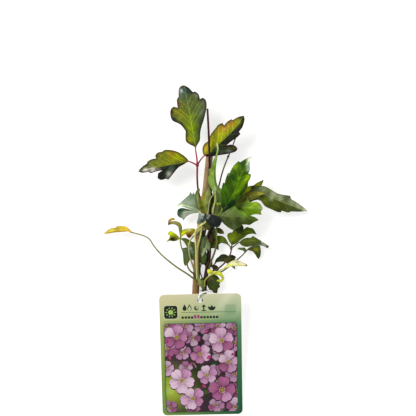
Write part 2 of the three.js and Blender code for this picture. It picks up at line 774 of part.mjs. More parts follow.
// The loop hangs in the hole of the label, and goes back over its top edge and round the old stem.
// These are plan points at a height in millimetres.
const LOOP_PATH = [
  [200.2, 298.9, 18.4], [200, 298.5, 20.7], [200.2, 296, 21.5], [201.6, 293.2, 21.8], [205.2, 290.9, 21],
  [209.4, 289.6, 18.8], [211.3, 289.7, 15.4], [210.2, 290.1, 11.8], [208.5, 290.3, 8.4], [208.2, 290.3, 5],
  [206.9, 290.2, 2], [204.5, 290.2, 1.1], [202.2, 290.2, 1.8], [200.8, 290.2, 4.6], [200.5, 291.2, 9.4],
  [200.3, 293.6, 14], [200.3, 297.6, 16.6],
];

const wasm = await Module();
wasm.setup();

// The height in millimetres of a level of the plan: higher levels stand further apart
function heightOf(level) {
  return level * (1 + LIFT * level);
}

// Moves a plan point at a height to its place in space, so that it stays where the eye sees it in the plan
function place(u, v, z) {
  const nearer = 1 - z / EYE.height;
  const x = EYE.u - PLAN_MIDDLE.u + (u - EYE.u) * nearer;
  const y = PLAN_MIDDLE.v - EYE.v - (v - EYE.v) * nearer;
  return new THREE.Vector3(x * PLAN_UNIT, y * PLAN_UNIT, z);
}

// Splits the edges of an open line of plan points, so that none is longer than the step
function splitLine(points, step) {
  const line = [];
  for (let i = 0; i + 1 < points.length; i += 1) {
    const parts = Math.max(1, Math.round(points[i].distanceTo(points[i + 1]) / step));
    for (let k = 0; k < parts; k += 1) {
      line.push(points[i].clone().lerp(points[i + 1], k / parts));
    }
  }
  return line.slice(1);
}

function ribLine(rib) {
  const curve = new THREE.CatmullRomCurve3(rib.map(([u, v, level]) => new THREE.Vector3(u, -v, heightOf(level))));
  return curve.getSpacedPoints(Math.max(2 * rib.length - 2, Math.round(curve.getLength() / RIB_STEP)));
}

// The nearest place on the rib: its height there, and the distance to it in plan units
function nearestOnRib(point, line) {
  let best = { distance: Infinity, height: 0 };
  for (let i = 0; i + 1 < line.length; i += 1) {
    const from = new THREE.Vector2(line[i].x, line[i].y);
    const along = new THREE.Vector2(line[i + 1].x, line[i + 1].y).sub(from);
    const share = THREE.MathUtils.clamp(point.clone().sub(from).dot(along) / along.lengthSq(), 0, 1);
    const distance = point.distanceTo(from.addScaledVector(along, share));
    if (distance < best.distance) {
      best = { distance, height: THREE.MathUtils.lerp(line[i].z, line[i + 1].z, share) };
    }
  }
  return best;
}

function isInside(point, outline) {
  let inside = false;
  outline.forEach((a, i) => {
    const b = outline[(i + 1) % outline.length];
    if (a.y > point.y !== b.y > point.y && point.x < a.x + ((point.y - a.y) / (b.y - a.y)) * (b.x - a.x)) {
      inside = !inside;
    }
  });
  return inside;
}

// Points of an even net inside an outline, clear of its edge
function innerPoints(outline) {
  const box = new THREE.Box2().setFromPoints(outline);
  const edge = [...outline, outline[0]].map((p) => new THREE.Vector3(p.x, p.y, 0));
  const found = [];
  for (let y = box.min.y + INNER_STEP / 2; y < box.max.y; y += INNER_STEP) {
    for (let x = box.min.x + INNER_STEP / 2; x < box.max.x; x += INNER_STEP) {
      const point = new THREE.Vector2(x, y);
      if (isInside(point, outline) && nearestOnRib(point, edge).distance > INNER_MARGIN) {
        found.push(point);
      }
    }
  }
  return found;
}

function turn(a, b, c) {
  return (b.x - a.x) * (c.y - a.y) - (b.y - a.y) * (c.x - a.x);
}

function inCircle(a, b, c, d) {
  const rows = [a, b, c].map((p) => [p.x - d.x, p.y - d.y, (p.x - d.x) ** 2 + (p.y - d.y) ** 2]);
  return new THREE.Matrix3().set(...rows.flat()).determinant() > 1e-7;
}

// Turns the shared edges of flat triangles until none could be split better the other way
function flipEdges(points, triangles) {
  const limit = triangles.length ** 2;
  for (let round = 0; round < limit; round += 1) {
    const users = new Map();
    triangles.forEach((triangle, index) => {
      triangle.forEach((a, k) => users.set(`${a} ${triangle[(k + 1) % 3]}`, [index, triangle[(k + 2) % 3]]));
    });
    const flip = [...users].find(([key, [, c]]) => {
      const [a, b] = key.split(' ').map(Number);
      const other = users.get(`${b} ${a}`);
      return other && inCircle(points[a], points[b], points[c], points[other[1]]);
    });
    if (!flip) {
      return;
    }
    const [a, b] = flip[0].split(' ').map(Number);
    const [here, c] = flip[1];
    const [there, d] = users.get(`${b} ${a}`);
    triangles[here] = [c, a, d];
    triangles[there] = [c, d, b];
  }
}

// Splits an outline, given as indices, and the points inside it into well shaped triangles
function triangulate(points, outline, inner) {
  const contour = outline.map((index) => points[index]);
  const triangles = THREE.ShapeUtils.triangulateShape(contour, []).map((face) => {
    const [a, b, c] = face.map((k) => outline[k]);
    return turn(points[a], points[b], points[c]) > 0 ? [a, b, c] : [a, c, b];
  });
  inner.forEach((index) => {
    const depths = triangles.map((face) =>
      Math.min(...face.map((a, k) => turn(points[a], points[face[(k + 1) % 3]], points[index]))));
    const home = depths.indexOf(Math.max(...depths));
    const [a, b, c] = triangles[home];
    triangles.splice(home, 1, [a, b, index], [b, c, index], [c, a, index]);
    flipEdges(points, triangles);
  });
  flipEdges(points, triangles);
  return triangles;
}

// One blade: both halves beside the rib are split into triangles, raised, and given a thickness
function bladeSolid(blade) {
  const rib = ribLine(blade.rib);
  const flat = rib.map((p) => new THREE.Vector2(p.x, p.y));
  const heights = rib.map((p) => p.z);
  const base = flat[0];
  const tip = flat[flat.length - 1];
  const triangles = [];
  let steepest = 0;
  [blade.left, blade.right].forEach((side, k) => {
    const corners = side.map(([u, v]) => new THREE.Vector2(u, -v));
    const edge = splitLine([base, ...corners, tip], EDGE_STEP);
    const indices = edge.map((p, i) => flat.length + i);
    flat.push(...edge);
    const ribIndices = rib.map((p, i) => i);
    const outline = [0, ...indices, ...ribIndices.slice(1).reverse()];
    const inner = innerPoints(outline.map((index) => flat[index]));
    const innerIndices = inner.map((p, i) => flat.length + i);
    flat.push(...inner);
    [...edge, ...inner].forEach((point) => {
      const { distance, height } = nearestOnRib(point, rib);
      const reach = distance * PLAN_UNIT;
      heights.push(height + blade.rise[k] * reach - (blade.cup * reach ** 2) / CUP_LENGTH);
      steepest = Math.max(steepest, Math.abs(blade.rise[k]) + (2 * blade.cup * reach) / CUP_LENGTH);
    });
    triangles.push(...triangulate(flat, outline, innerIndices));
  });
  const drop = BLADE_THICKNESS * Math.hypot(1, steepest);
  return slab(flat, heights, triangles, drop).add(midribSolid(blade.rib, drop));
}

// The foot of the rib stands out below its blade and fades away towards the tip
function midribSolid(rib, drop) {
  const places = rib.map(([u, v, level]) => place(u, v, heightOf(level) - drop));
  const curve = new THREE.CatmullRomCurve3(places);
  const path = [0, MIDRIB.share / 2, MIDRIB.share].map((share) => curve.getPointAt(share));
  return tubeSolid(path, [[0, MIDRIB.radius], [1, MIDRIB.tipRadius]], STALK_SIDES);
}

// A closed solid between a raised net of triangles and the same net lower down
function slab(flat, heights, triangles, drop) {
  const upper = flat.map((p, i) => place(p.x, -p.y, heights[i]));
  const lower = upper.map((p) => new THREE.Vector3(p.x, p.y, p.z - drop));
  const below = upper.length;
  const faces = [];
  const sides = new Map();
  triangles.forEach(([a, b, c]) => {
    faces.push([a, b, c], [below + c, below + b, below + a]);
    [[a, b], [b, c], [c, a]].forEach(([from, to]) => {
      if (!sides.delete(`${to} ${from}`)) {
        sides.set(`${from} ${to}`, [from, to]);
      }
    });
  });
  sides.forEach(([from, to]) => faces.push([below + from, below + to, to], [below + from, to, from]));
  return solidFrom([...upper, ...lower], faces);
}

function radiusAt(radii, share) {
  const next = Math.max(1, radii.findIndex(([at]) => at >= share));
  const [[from, a], [to, b]] = [radii[next - 1], radii[next]];
  return THREE.MathUtils.mapLinear(share, from, to, a, b);
}

function stalkSolid(path, radii, sides) {
  return tubeSolid(path.map(([u, v, level]) => place(u, v, heightOf(level))), radii, sides);
}

// A round tube of changing radius along a smooth line through the places, closed at both ends
function tubeSolid(places, radii, sides) {
  const curve = new THREE.CatmullRomCurve3(places);
  const steps = Math.max(3, Math.round(curve.getLength() / (STALK_STEP * PLAN_UNIT)));
  const { normals, binormals } = curve.computeFrenetFrames(steps, false);
  const points = [];
  const faces = [];
  for (let i = 0; i <= steps; i += 1) {
    const centre = curve.getPointAt(i / steps);
    const radius = radiusAt(radii, i / steps);
    for (let k = 0; k < sides; k += 1) {
      const angle = (2 * Math.PI * k) / sides;
      const out = normals[i].clone().multiplyScalar(Math.cos(angle));
      out.addScaledVector(binormals[i], Math.sin(angle));
      points.push(centre.clone().addScaledVector(out, radius));
      const [a, b] = [i * sides + k, i * sides + ((k + 1) % sides)];
      if (i < steps) {
        faces.push([a, b, b + sides], [a, b + sides, a + sides]);
      }
    }
  }
  const last = steps * sides;
  for (let k = 1; k + 1 < sides; k += 1) {
    faces.push([0, k + 1, k], [last, last + k, last + k + 1]);
  }
  return solidFrom(points, faces);
}

function solidFrom(points, faces) {
  const geometry = new THREE.BufferGeometry().setFromPoints(points);
  geometry.setIndex(faces.flat());
  return new wasm.Manifold(new wasm.Mesh({
    numProp: 3,
    vertProperties: geometry.attributes.position.array,
    triVerts: Uint32Array.from(geometry.index.array),
  }));
}

function geometryFrom(solid) {
  const { numProp, vertProperties, triVerts } = solid.getMesh();
  const geometry = new THREE.BufferGeometry();
  geometry.setAttribute('position', new THREE.BufferAttribute(vertProperties, numProp));
  geometry.setIndex(new THREE.BufferAttribute(triVerts, 1));
  return geometry;
}

function leafGeometry({ stalks, blades }) {
  const tubes = stalks.map(({ path, radii: [from, to] }) => stalkSolid(path, [[0, from], [1, to]], STALK_SIDES));
  const solids = [...tubes, ...Object.values(blades).map(bladeSolid)];
  return geometryFrom(solids.reduce((all, solid) => all.add(solid)));
}

// The cane lies on one of its flat facets
function caneMesh() {
  const radius = CANE_DIAMETER / 2;
  const facetHeight = radius * Math.cos(Math.PI / CANE_SIDES);
  const top = place(...CANE_ENDS.top, facetHeight);
  const foot = place(...CANE_ENDS.foot, facetHeight);
  const geometry = new THREE.CylinderGeometry(radius, radius, top.distanceTo(foot), CANE_SIDES);
  geometry.rotateY(Math.PI / CANE_SIDES);
  const cane = named('bamboo_cane', geometry, '#c9a468', 0.55);
  cane.position.addVectors(top, foot).multiplyScalar(0.5);
  cane.rotation.z = Math.atan2(foot.x - top.x, top.y - foot.y);
  return cane;
}

function labelOutline() {
  const [half, corner] = [LABEL_WIDTH / 2, LABEL_CORNER];
  const shape = new THREE.Shape();
  shape.moveTo(-half + corner, 0);
  shape.lineTo(half - corner, 0);
  shape.absarc(half - corner, -corner, corner, Math.PI / 2, 0, true);
  shape.lineTo(half, -LABEL_LENGTH + corner);
  shape.absarc(half - corner, -LABEL_LENGTH + corner, corner, 0, -Math.PI / 2, true);
  shape.lineTo(-half + corner, -LABEL_LENGTH);
  shape.absarc(-half + corner, -LABEL_LENGTH + corner, corner, -Math.PI / 2, -Math.PI, true);
  shape.lineTo(-half, -corner);
  shape.absarc(-half + corner, -corner, corner, Math.PI, Math.PI / 2, true);
  const hole = new THREE.Path();
  hole.absarc(0, -LABEL_HOLE.fromTop, LABEL_HOLE.radius, 0, 2 * Math.PI, false);
  shape.holes.push(hole);
  return shape;
}

// The card leans on the loop at its top and stands on the surface with its lower edge
function labelMesh() {
  const geometry = new THREE.ExtrudeGeometry(labelOutline(), {
    depth: LABEL_THICKNESS,
    bevelEnabled: false,
    curveSegments: 5,
  });
  geometry.translate(0, 0, -LABEL_THICKNESS);
  const label = named('hang_label', geometry, '#6fa04c', 0.4);
  label.rotation.order = 'ZXY';
  label.rotation.x = Math.asin((LABEL_TOP_HEIGHT - LABEL_THICKNESS) / LABEL_LENGTH);
  label.rotation.z = THREE.MathUtils.degToRad(LABEL_TURN);
  label.position.copy(place(LABEL_TOP.u, LABEL_TOP.v, LABEL_TOP_HEIGHT));
  return label;
}

function loopMesh() {
  const curve = new THREE.CatmullRomCurve3(LOOP_PATH.map(([u, v, z]) => place(u, v, z)), true);
  const geometry = new THREE.TubeGeometry(curve, 48, LOOP_RADIUS, 6, true);
  geometry.deleteAttribute('normal');
  geometry.deleteAttribute('uv');
  return named('label_loop', mergeVertices(geometry), '#ececea', 0.35);
}

function named(name, geometry, color, roughness) {
  geometry.computeVertexNormals();
  const mesh = new THREE.Mesh(geometry, new THREE.MeshStandardMaterial({ color, roughness, metalness: 0 }));
  mesh.name = name;
  return mesh;
}

const plant = new THREE.Group();
plant.add(caneMesh(), labelMesh(), loopMesh());
Object.entries(STEMS).forEach(([name, { tone, path, radii }]) => {
  plant.add(named(name, geometryFrom(stalkSolid(path, radii, STEM_SIDES)), TONES[tone], 0.6));
});
Object.entries(LEAVES).forEach(([name, leaf]) => {
  plant.add(named(name, leafGeometry(leaf), TONES[leaf.tone], 0.5));
});

export default plant;
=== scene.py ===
"""A young clematis plant on a bamboo cane with a hang label, laid down and seen from above.

The plant is drawn as a plan, as in the part's source. A plan point is u, v and a level: u runs to the right
and v downwards in plan units, and the level says how high above the surface it is. Lengths are in
millimetres until a piece is made, and MM turns them into metres.
"""

import json
import math
import random

import bpy
import numpy as np
from mathutils import Matrix, Vector, noise
from mathutils.geometry import delaunay_2d_cdt
from mathutils.kdtree import KDTree


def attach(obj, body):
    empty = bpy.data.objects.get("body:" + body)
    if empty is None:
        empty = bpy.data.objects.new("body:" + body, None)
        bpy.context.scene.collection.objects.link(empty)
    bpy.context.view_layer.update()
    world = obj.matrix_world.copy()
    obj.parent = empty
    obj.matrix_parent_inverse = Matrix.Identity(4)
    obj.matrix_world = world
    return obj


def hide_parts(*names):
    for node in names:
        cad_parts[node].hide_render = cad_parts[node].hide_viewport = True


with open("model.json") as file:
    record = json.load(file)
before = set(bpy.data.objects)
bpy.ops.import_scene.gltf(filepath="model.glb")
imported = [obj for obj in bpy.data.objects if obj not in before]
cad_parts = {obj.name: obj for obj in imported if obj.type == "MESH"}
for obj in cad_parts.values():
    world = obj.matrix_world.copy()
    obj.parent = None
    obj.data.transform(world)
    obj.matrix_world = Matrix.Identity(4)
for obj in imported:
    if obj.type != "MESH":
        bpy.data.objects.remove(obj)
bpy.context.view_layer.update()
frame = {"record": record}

# Driving dimensions, as in the part's source
MM = 0.001
PLAN_UNIT = 0.95
LIFT = 0.014
PLAN_MIDDLE = Vector((205, 253.5))
EYE = Vector((208, 208))
EYE_HEIGHT = 700
VIEW_WIDTH = 416 * PLAN_UNIT
CUP_LENGTH = 10
CANE_DIAMETER = 7
CANE_FACETS = 12
LABEL_WIDTH = 76
LABEL_LENGTH = 118.4
LABEL_THICKNESS = 0.8
LABEL_CORNER = 4.6
LABEL_TOP_HEIGHT = 20
LABEL_TURN = 1.15
LABEL_HOLE = {"radius": 2.5, "from_top": 6}
LOOP_RADIUS = 0.8

# The fine surfaces
BLADE_THICKNESS = 0.42
RIB_SOFTNESS = 0.5
RIB_DEPTH = 0.22
VEIN_DEPTH = 0.14
RIB_WIDTH = 0.7
VEIN_WIDTH = 0.5
PUFF = 0.2
PUFF_WIDTH = 2
FLAT_MARGIN = 2.5
THIN_MARGIN = 1.2
MARGIN_WAVE = 0.3
WAVE_SCALE = 0.16
WAVE_REACH = 4
FAR_AWAY = 99.0

# The net of points on a blade or on the label: the gap between its rows and how far it stays clear of lines,
# both in steps of the net, and the steps of a blade's net. A blade that is BROAD from rib to margin, in plan
# units, has the coarsest net and the full relief. The waves of each blade of a leaf come from another seed.
NET_ROW_GAP = 0.866
NET_CLEARANCE = 0.6
FINE_NET = 0.5
COARSE_NET = 1.0
BROAD = 9
BLADE_SEED_STEP = 7.3

# Of a leaf's two materials, the blades have the first and the stalks and midribs the second
STALK_SLOT = 1

# Round things: the step along each and the sides round it. A domed end stands out and narrows by shares of
# the radius.
STALK_STEP = 1.4
STALK_SIDES = 10
STEM_STEP = 1.2
STEM_SIDES = 18
LOOP_STEP = 0.8
LOOP_SIDES = 12
CANE_SIDES = 32
THIN_SIDES = 8
DOME_HEIGHT = 0.45
DOME_RIM = 0.6

# Stalks run on at the foot into what carries them, and swell there. Stems have ribs and swollen joints. The
# tints are those of midribs and buds.
STALK_ROOT = 1.1
FOOT_SWELL = 0.3
FOOT_LENGTH = 1.8
JOINT_SWELL = 0.28
STEM_RIBS = 6
RIB_TINT = "#a8b078"
BUD_TINT = "#6a4a34"

# Paths, outlines, stops and spots are texts: spaces between the numbers of a row, and commas between rows.
# The stalks of each compound leaf: the radius and the colour at the foot and at the tip
STALKS = {
    "top_leaf": [
        {"radii": (1, 0.85), "colours": ("#4a2028", "#8c2440"),
         "path": """209.2 213.7 9.9, 206 208.5 9.9, 202.5 203 10, 199.8 197 11, 198 189 12.5, 197.2 178 15,
         197.3 165 17.5"""},
        {"radii": (0.85, 0.6), "colours": ("#98264a", "#b04850"),
         "path": "197.3 165.5 17.4, 196.8 158 19, 195.6 150 20.5, 195.4 146.4 20.9"},
        {"radii": (0.8, 0.55), "colours": ("#8c2040", "#a83c50"),
         "path": "197.3 165.3 17.5, 193 163 18, 188 161.3 18, 185 162 18.2"},
        {"radii": (0.8, 0.55), "colours": ("#8c2040", "#a83c50"),
         "path": "197.3 165.3 17.5, 200.5 160 17.4, 204 156 17, 206.5 154 17"},
    ],
    "narrow_leaf": [
        {"radii": (0.95, 0.6), "colours": ("#c4c684", "#9cac60"),
         "path": """212.9 215.2 10.4, 212.7 213 13.4, 213.2 208.8 15.1, 214.6 203.4 15.7, 215.3 197.5 15.7,
         215.4 191 15.3"""},
    ],
    "forked_leaf": [
        {"radii": (1.05, 0.7), "colours": ("#78843f", "#d2d67a"),
         "path": """197.8 277.2 12.6, 197.4 270 12.5, 197 260 11.4, 197.2 250 10.8, 198.8 242 10.6,
         200.4 236 10.6, 201.4 230 10.4, 201.5 225.5 10.2, 201.2 219 10.6, 200.8 214 12.2,
         199.8 211.4 12.8"""},
        {"radii": (0.75, 0.75), "colours": ("#b0b674", "#dce092"),
         "path": """197 277.6 12.7, 196.6 271 12.6, 196.1 263 11.8, 196 255 11.4, 195.9 249 11.4,
         195.4 242.5 11.7, 194.9 237.5 12.2, 195.2 232.5 12.6, 196.6 229 13, 199.6 226 13.4, 202.7 224 13.7,
         205.6 221.9 13, 208.4 219 12.4, 209 216.4 12.6, 207.8 214.2 13.2"""},
        {"radii": (0.55, 0.4), "colours": ("#a8ac7c", "#9ea67c"),
         "path": "207.8 214.2 13.4, 208.8 206 15.8, 210.4 199 17.2, 213 195 17, 214.6 193.3 16.8"},
    ],
    "great_leaf": [
        {"radii": (0.95, 0.8), "colours": ("#4a5228", "#70783a"),
         "path": """208.9 270.2 7.1, 209.8 266 8.2, 211.6 260 9, 214.7 252 9.6, 216.2 246 9.8, 216.6 239 9.8,
         216.4 231 9.9, 216.8 224 10.4, 217.8 217 13, 218.6 214 14.4"""},
        {"radii": (0.55, 0.35), "colours": ("#868e42", "#a0b02c"),
         "path": """218 216 13.6, 220.4 213.3 15.8, 222 209.5 17, 221.6 205.6 17.2, 219.2 203.5 17,
         216.6 203.2 16.8"""},
    ],
    "far_leaf": [
        {"radii": (0.85, 0.7), "colours": ("#5c6434", "#7c8440"),
         "path": "214.2 219.2 7.3, 219 214.5 8, 227 210 8.6, 234 206 9.4, 238 203.5 9.6"},
    ],
    "right_leaf": [
        {"radii": (0.85, 0.7), "colours": ("#4a3026", "#5c3c30"),
         "path": """208.8 272.8 6.9, 213 270.9 7.5, 219 267.8 7.8, 224 263.6 8, 228.5 258 8.2, 230.7 253 8.2,
         231.3 248 8.2"""},
        {"radii": (0.65, 0.5), "colours": ("#4e4428", "#4c5420"),
         "path": "231.3 248.4 8.2, 229.6 246 7.8, 227 243.8 7.5"},
        {"radii": (0.65, 0.5), "colours": ("#4e4428", "#4c5420"),
         "path": "231.3 248.4 8.2, 231.8 245.5 8.4, 233 241.5 8.9"},
        {"radii": (0.6, 0.5), "colours": ("#4e4428", "#4c5420"),
         "path": "231.3 248.2 8.2, 235 245.4 8.5, 239.5 242.2 8.9, 243.5 241.4 9.4"},
    ],
    "drooping_leaf": [
        {"radii": (0.75, 0.6), "colours": ("#5c6434", "#465232"),
         "path": """207.5 277.8 6.8, 213 275.5 7, 218 273.3 6.6, 222.5 271.2 6.3, 229 266.5 6.2, 237 260 6.2,
         243 254.6 6.4, 246.6 250.6 6.8, 249 248.4 7"""},
    ],
    "under_leaf": [
        {"radii": (0.7, 0.5), "colours": ("#44302a", "#3c3c20"),
         "path": "209.9 266 4.8, 212.6 265.6 5, 216 262.6 5.2"},
        {"radii": (0.6, 0.45), "colours": ("#44302a", "#3c3c20"), "path": "211 266.4 4.8, 213.5 268 4.9"},
    ],
    "curled_leaf": [
        {"radii": (0.7, 0.5), "colours": ("#8a8e3a", "#c8cc4c"),
         "path": """204.5 285.1 12.1, 204.8 281 13.4, 207.5 277.4 14.2, 211 275 14.6, 214.5 273.3 14.8,
         217.5 272 14.8, 221.5 269.8 14.8, 226 267 15.2"""},
    ],
    "low_leaf": [
        {"radii": (0.7, 0.5), "colours": ("#3c3c24", "#4a5428"),
         "path": "207.1 284.6 7.5, 208.8 282.2 8.2, 211.5 279.8 8.8"},
    ],
    "left_leaf": [
        {"radii": (0.8, 0.55), "colours": ("#2a3420", "#8c8e50"),
         "path": """195.3 277.4 11.4, 193.4 273.6 10.4, 190.5 271.2 9.4, 188 267.5 8.6, 187 263 8.2,
         185.5 258 8, 183.3 252.5 8.2, 181.3 246.5 9, 180.3 241 10, 180.3 237.5 10.6, 180.3 233 12.2"""},
    ],
    "inner_leaf": [
        {"radii": (0.65, 0.5), "colours": ("#3a2c1c", "#3e3e1e"),
         "path": "213 227.5 7.3, 214 228.8 7.6, 215.8 229.6 7.7"},
    ],
    "middle_leaf": [
        {"radii": (0.65, 0.5), "colours": ("#3a3626", "#4c4a34"),
         "path": "212.3 225.4 8.9, 209.4 230 9.2, 207.2 235 9.6, 206.2 239 9.7"},
        {"radii": (0.5, 0.4), "colours": ("#3c3428", "#5c5644"),
         "path": "209.6 229.4 10.2, 207.8 233.6 10.4, 206.2 238 10.6, 204.9 242 10.7, 203.2 247.4 10.6"},
    ],
    "back_leaf": [
        {"radii": (0.6, 0.45), "colours": ("#1c1610", "#2a2818"),
         "path": "203.6 281.2 7.5, 201.8 276.8 7.8, 200.3 272.5 7.8, 200.3 268 7.8, 201.4 263.6 7.9"},
    ],
    "yellow_leaf": [
        {"radii": (0.85, 0.55), "colours": ("#5c6430", "#94904e"),
         "path": """195.5 280.3 12.2, 191 276.6 11.2, 186 273.1 10.6, 178 268 10.8, 170 262 11.4,
         163 256.2 12, 158 251 12.6, 155 247.4 13, 152.4 243.6 13.4, 150 239.9 13.6, 147.6 237.6 13.6,
         143 235.5 13.4, 138 234 13, 130 232 12.4"""},
    ],
}

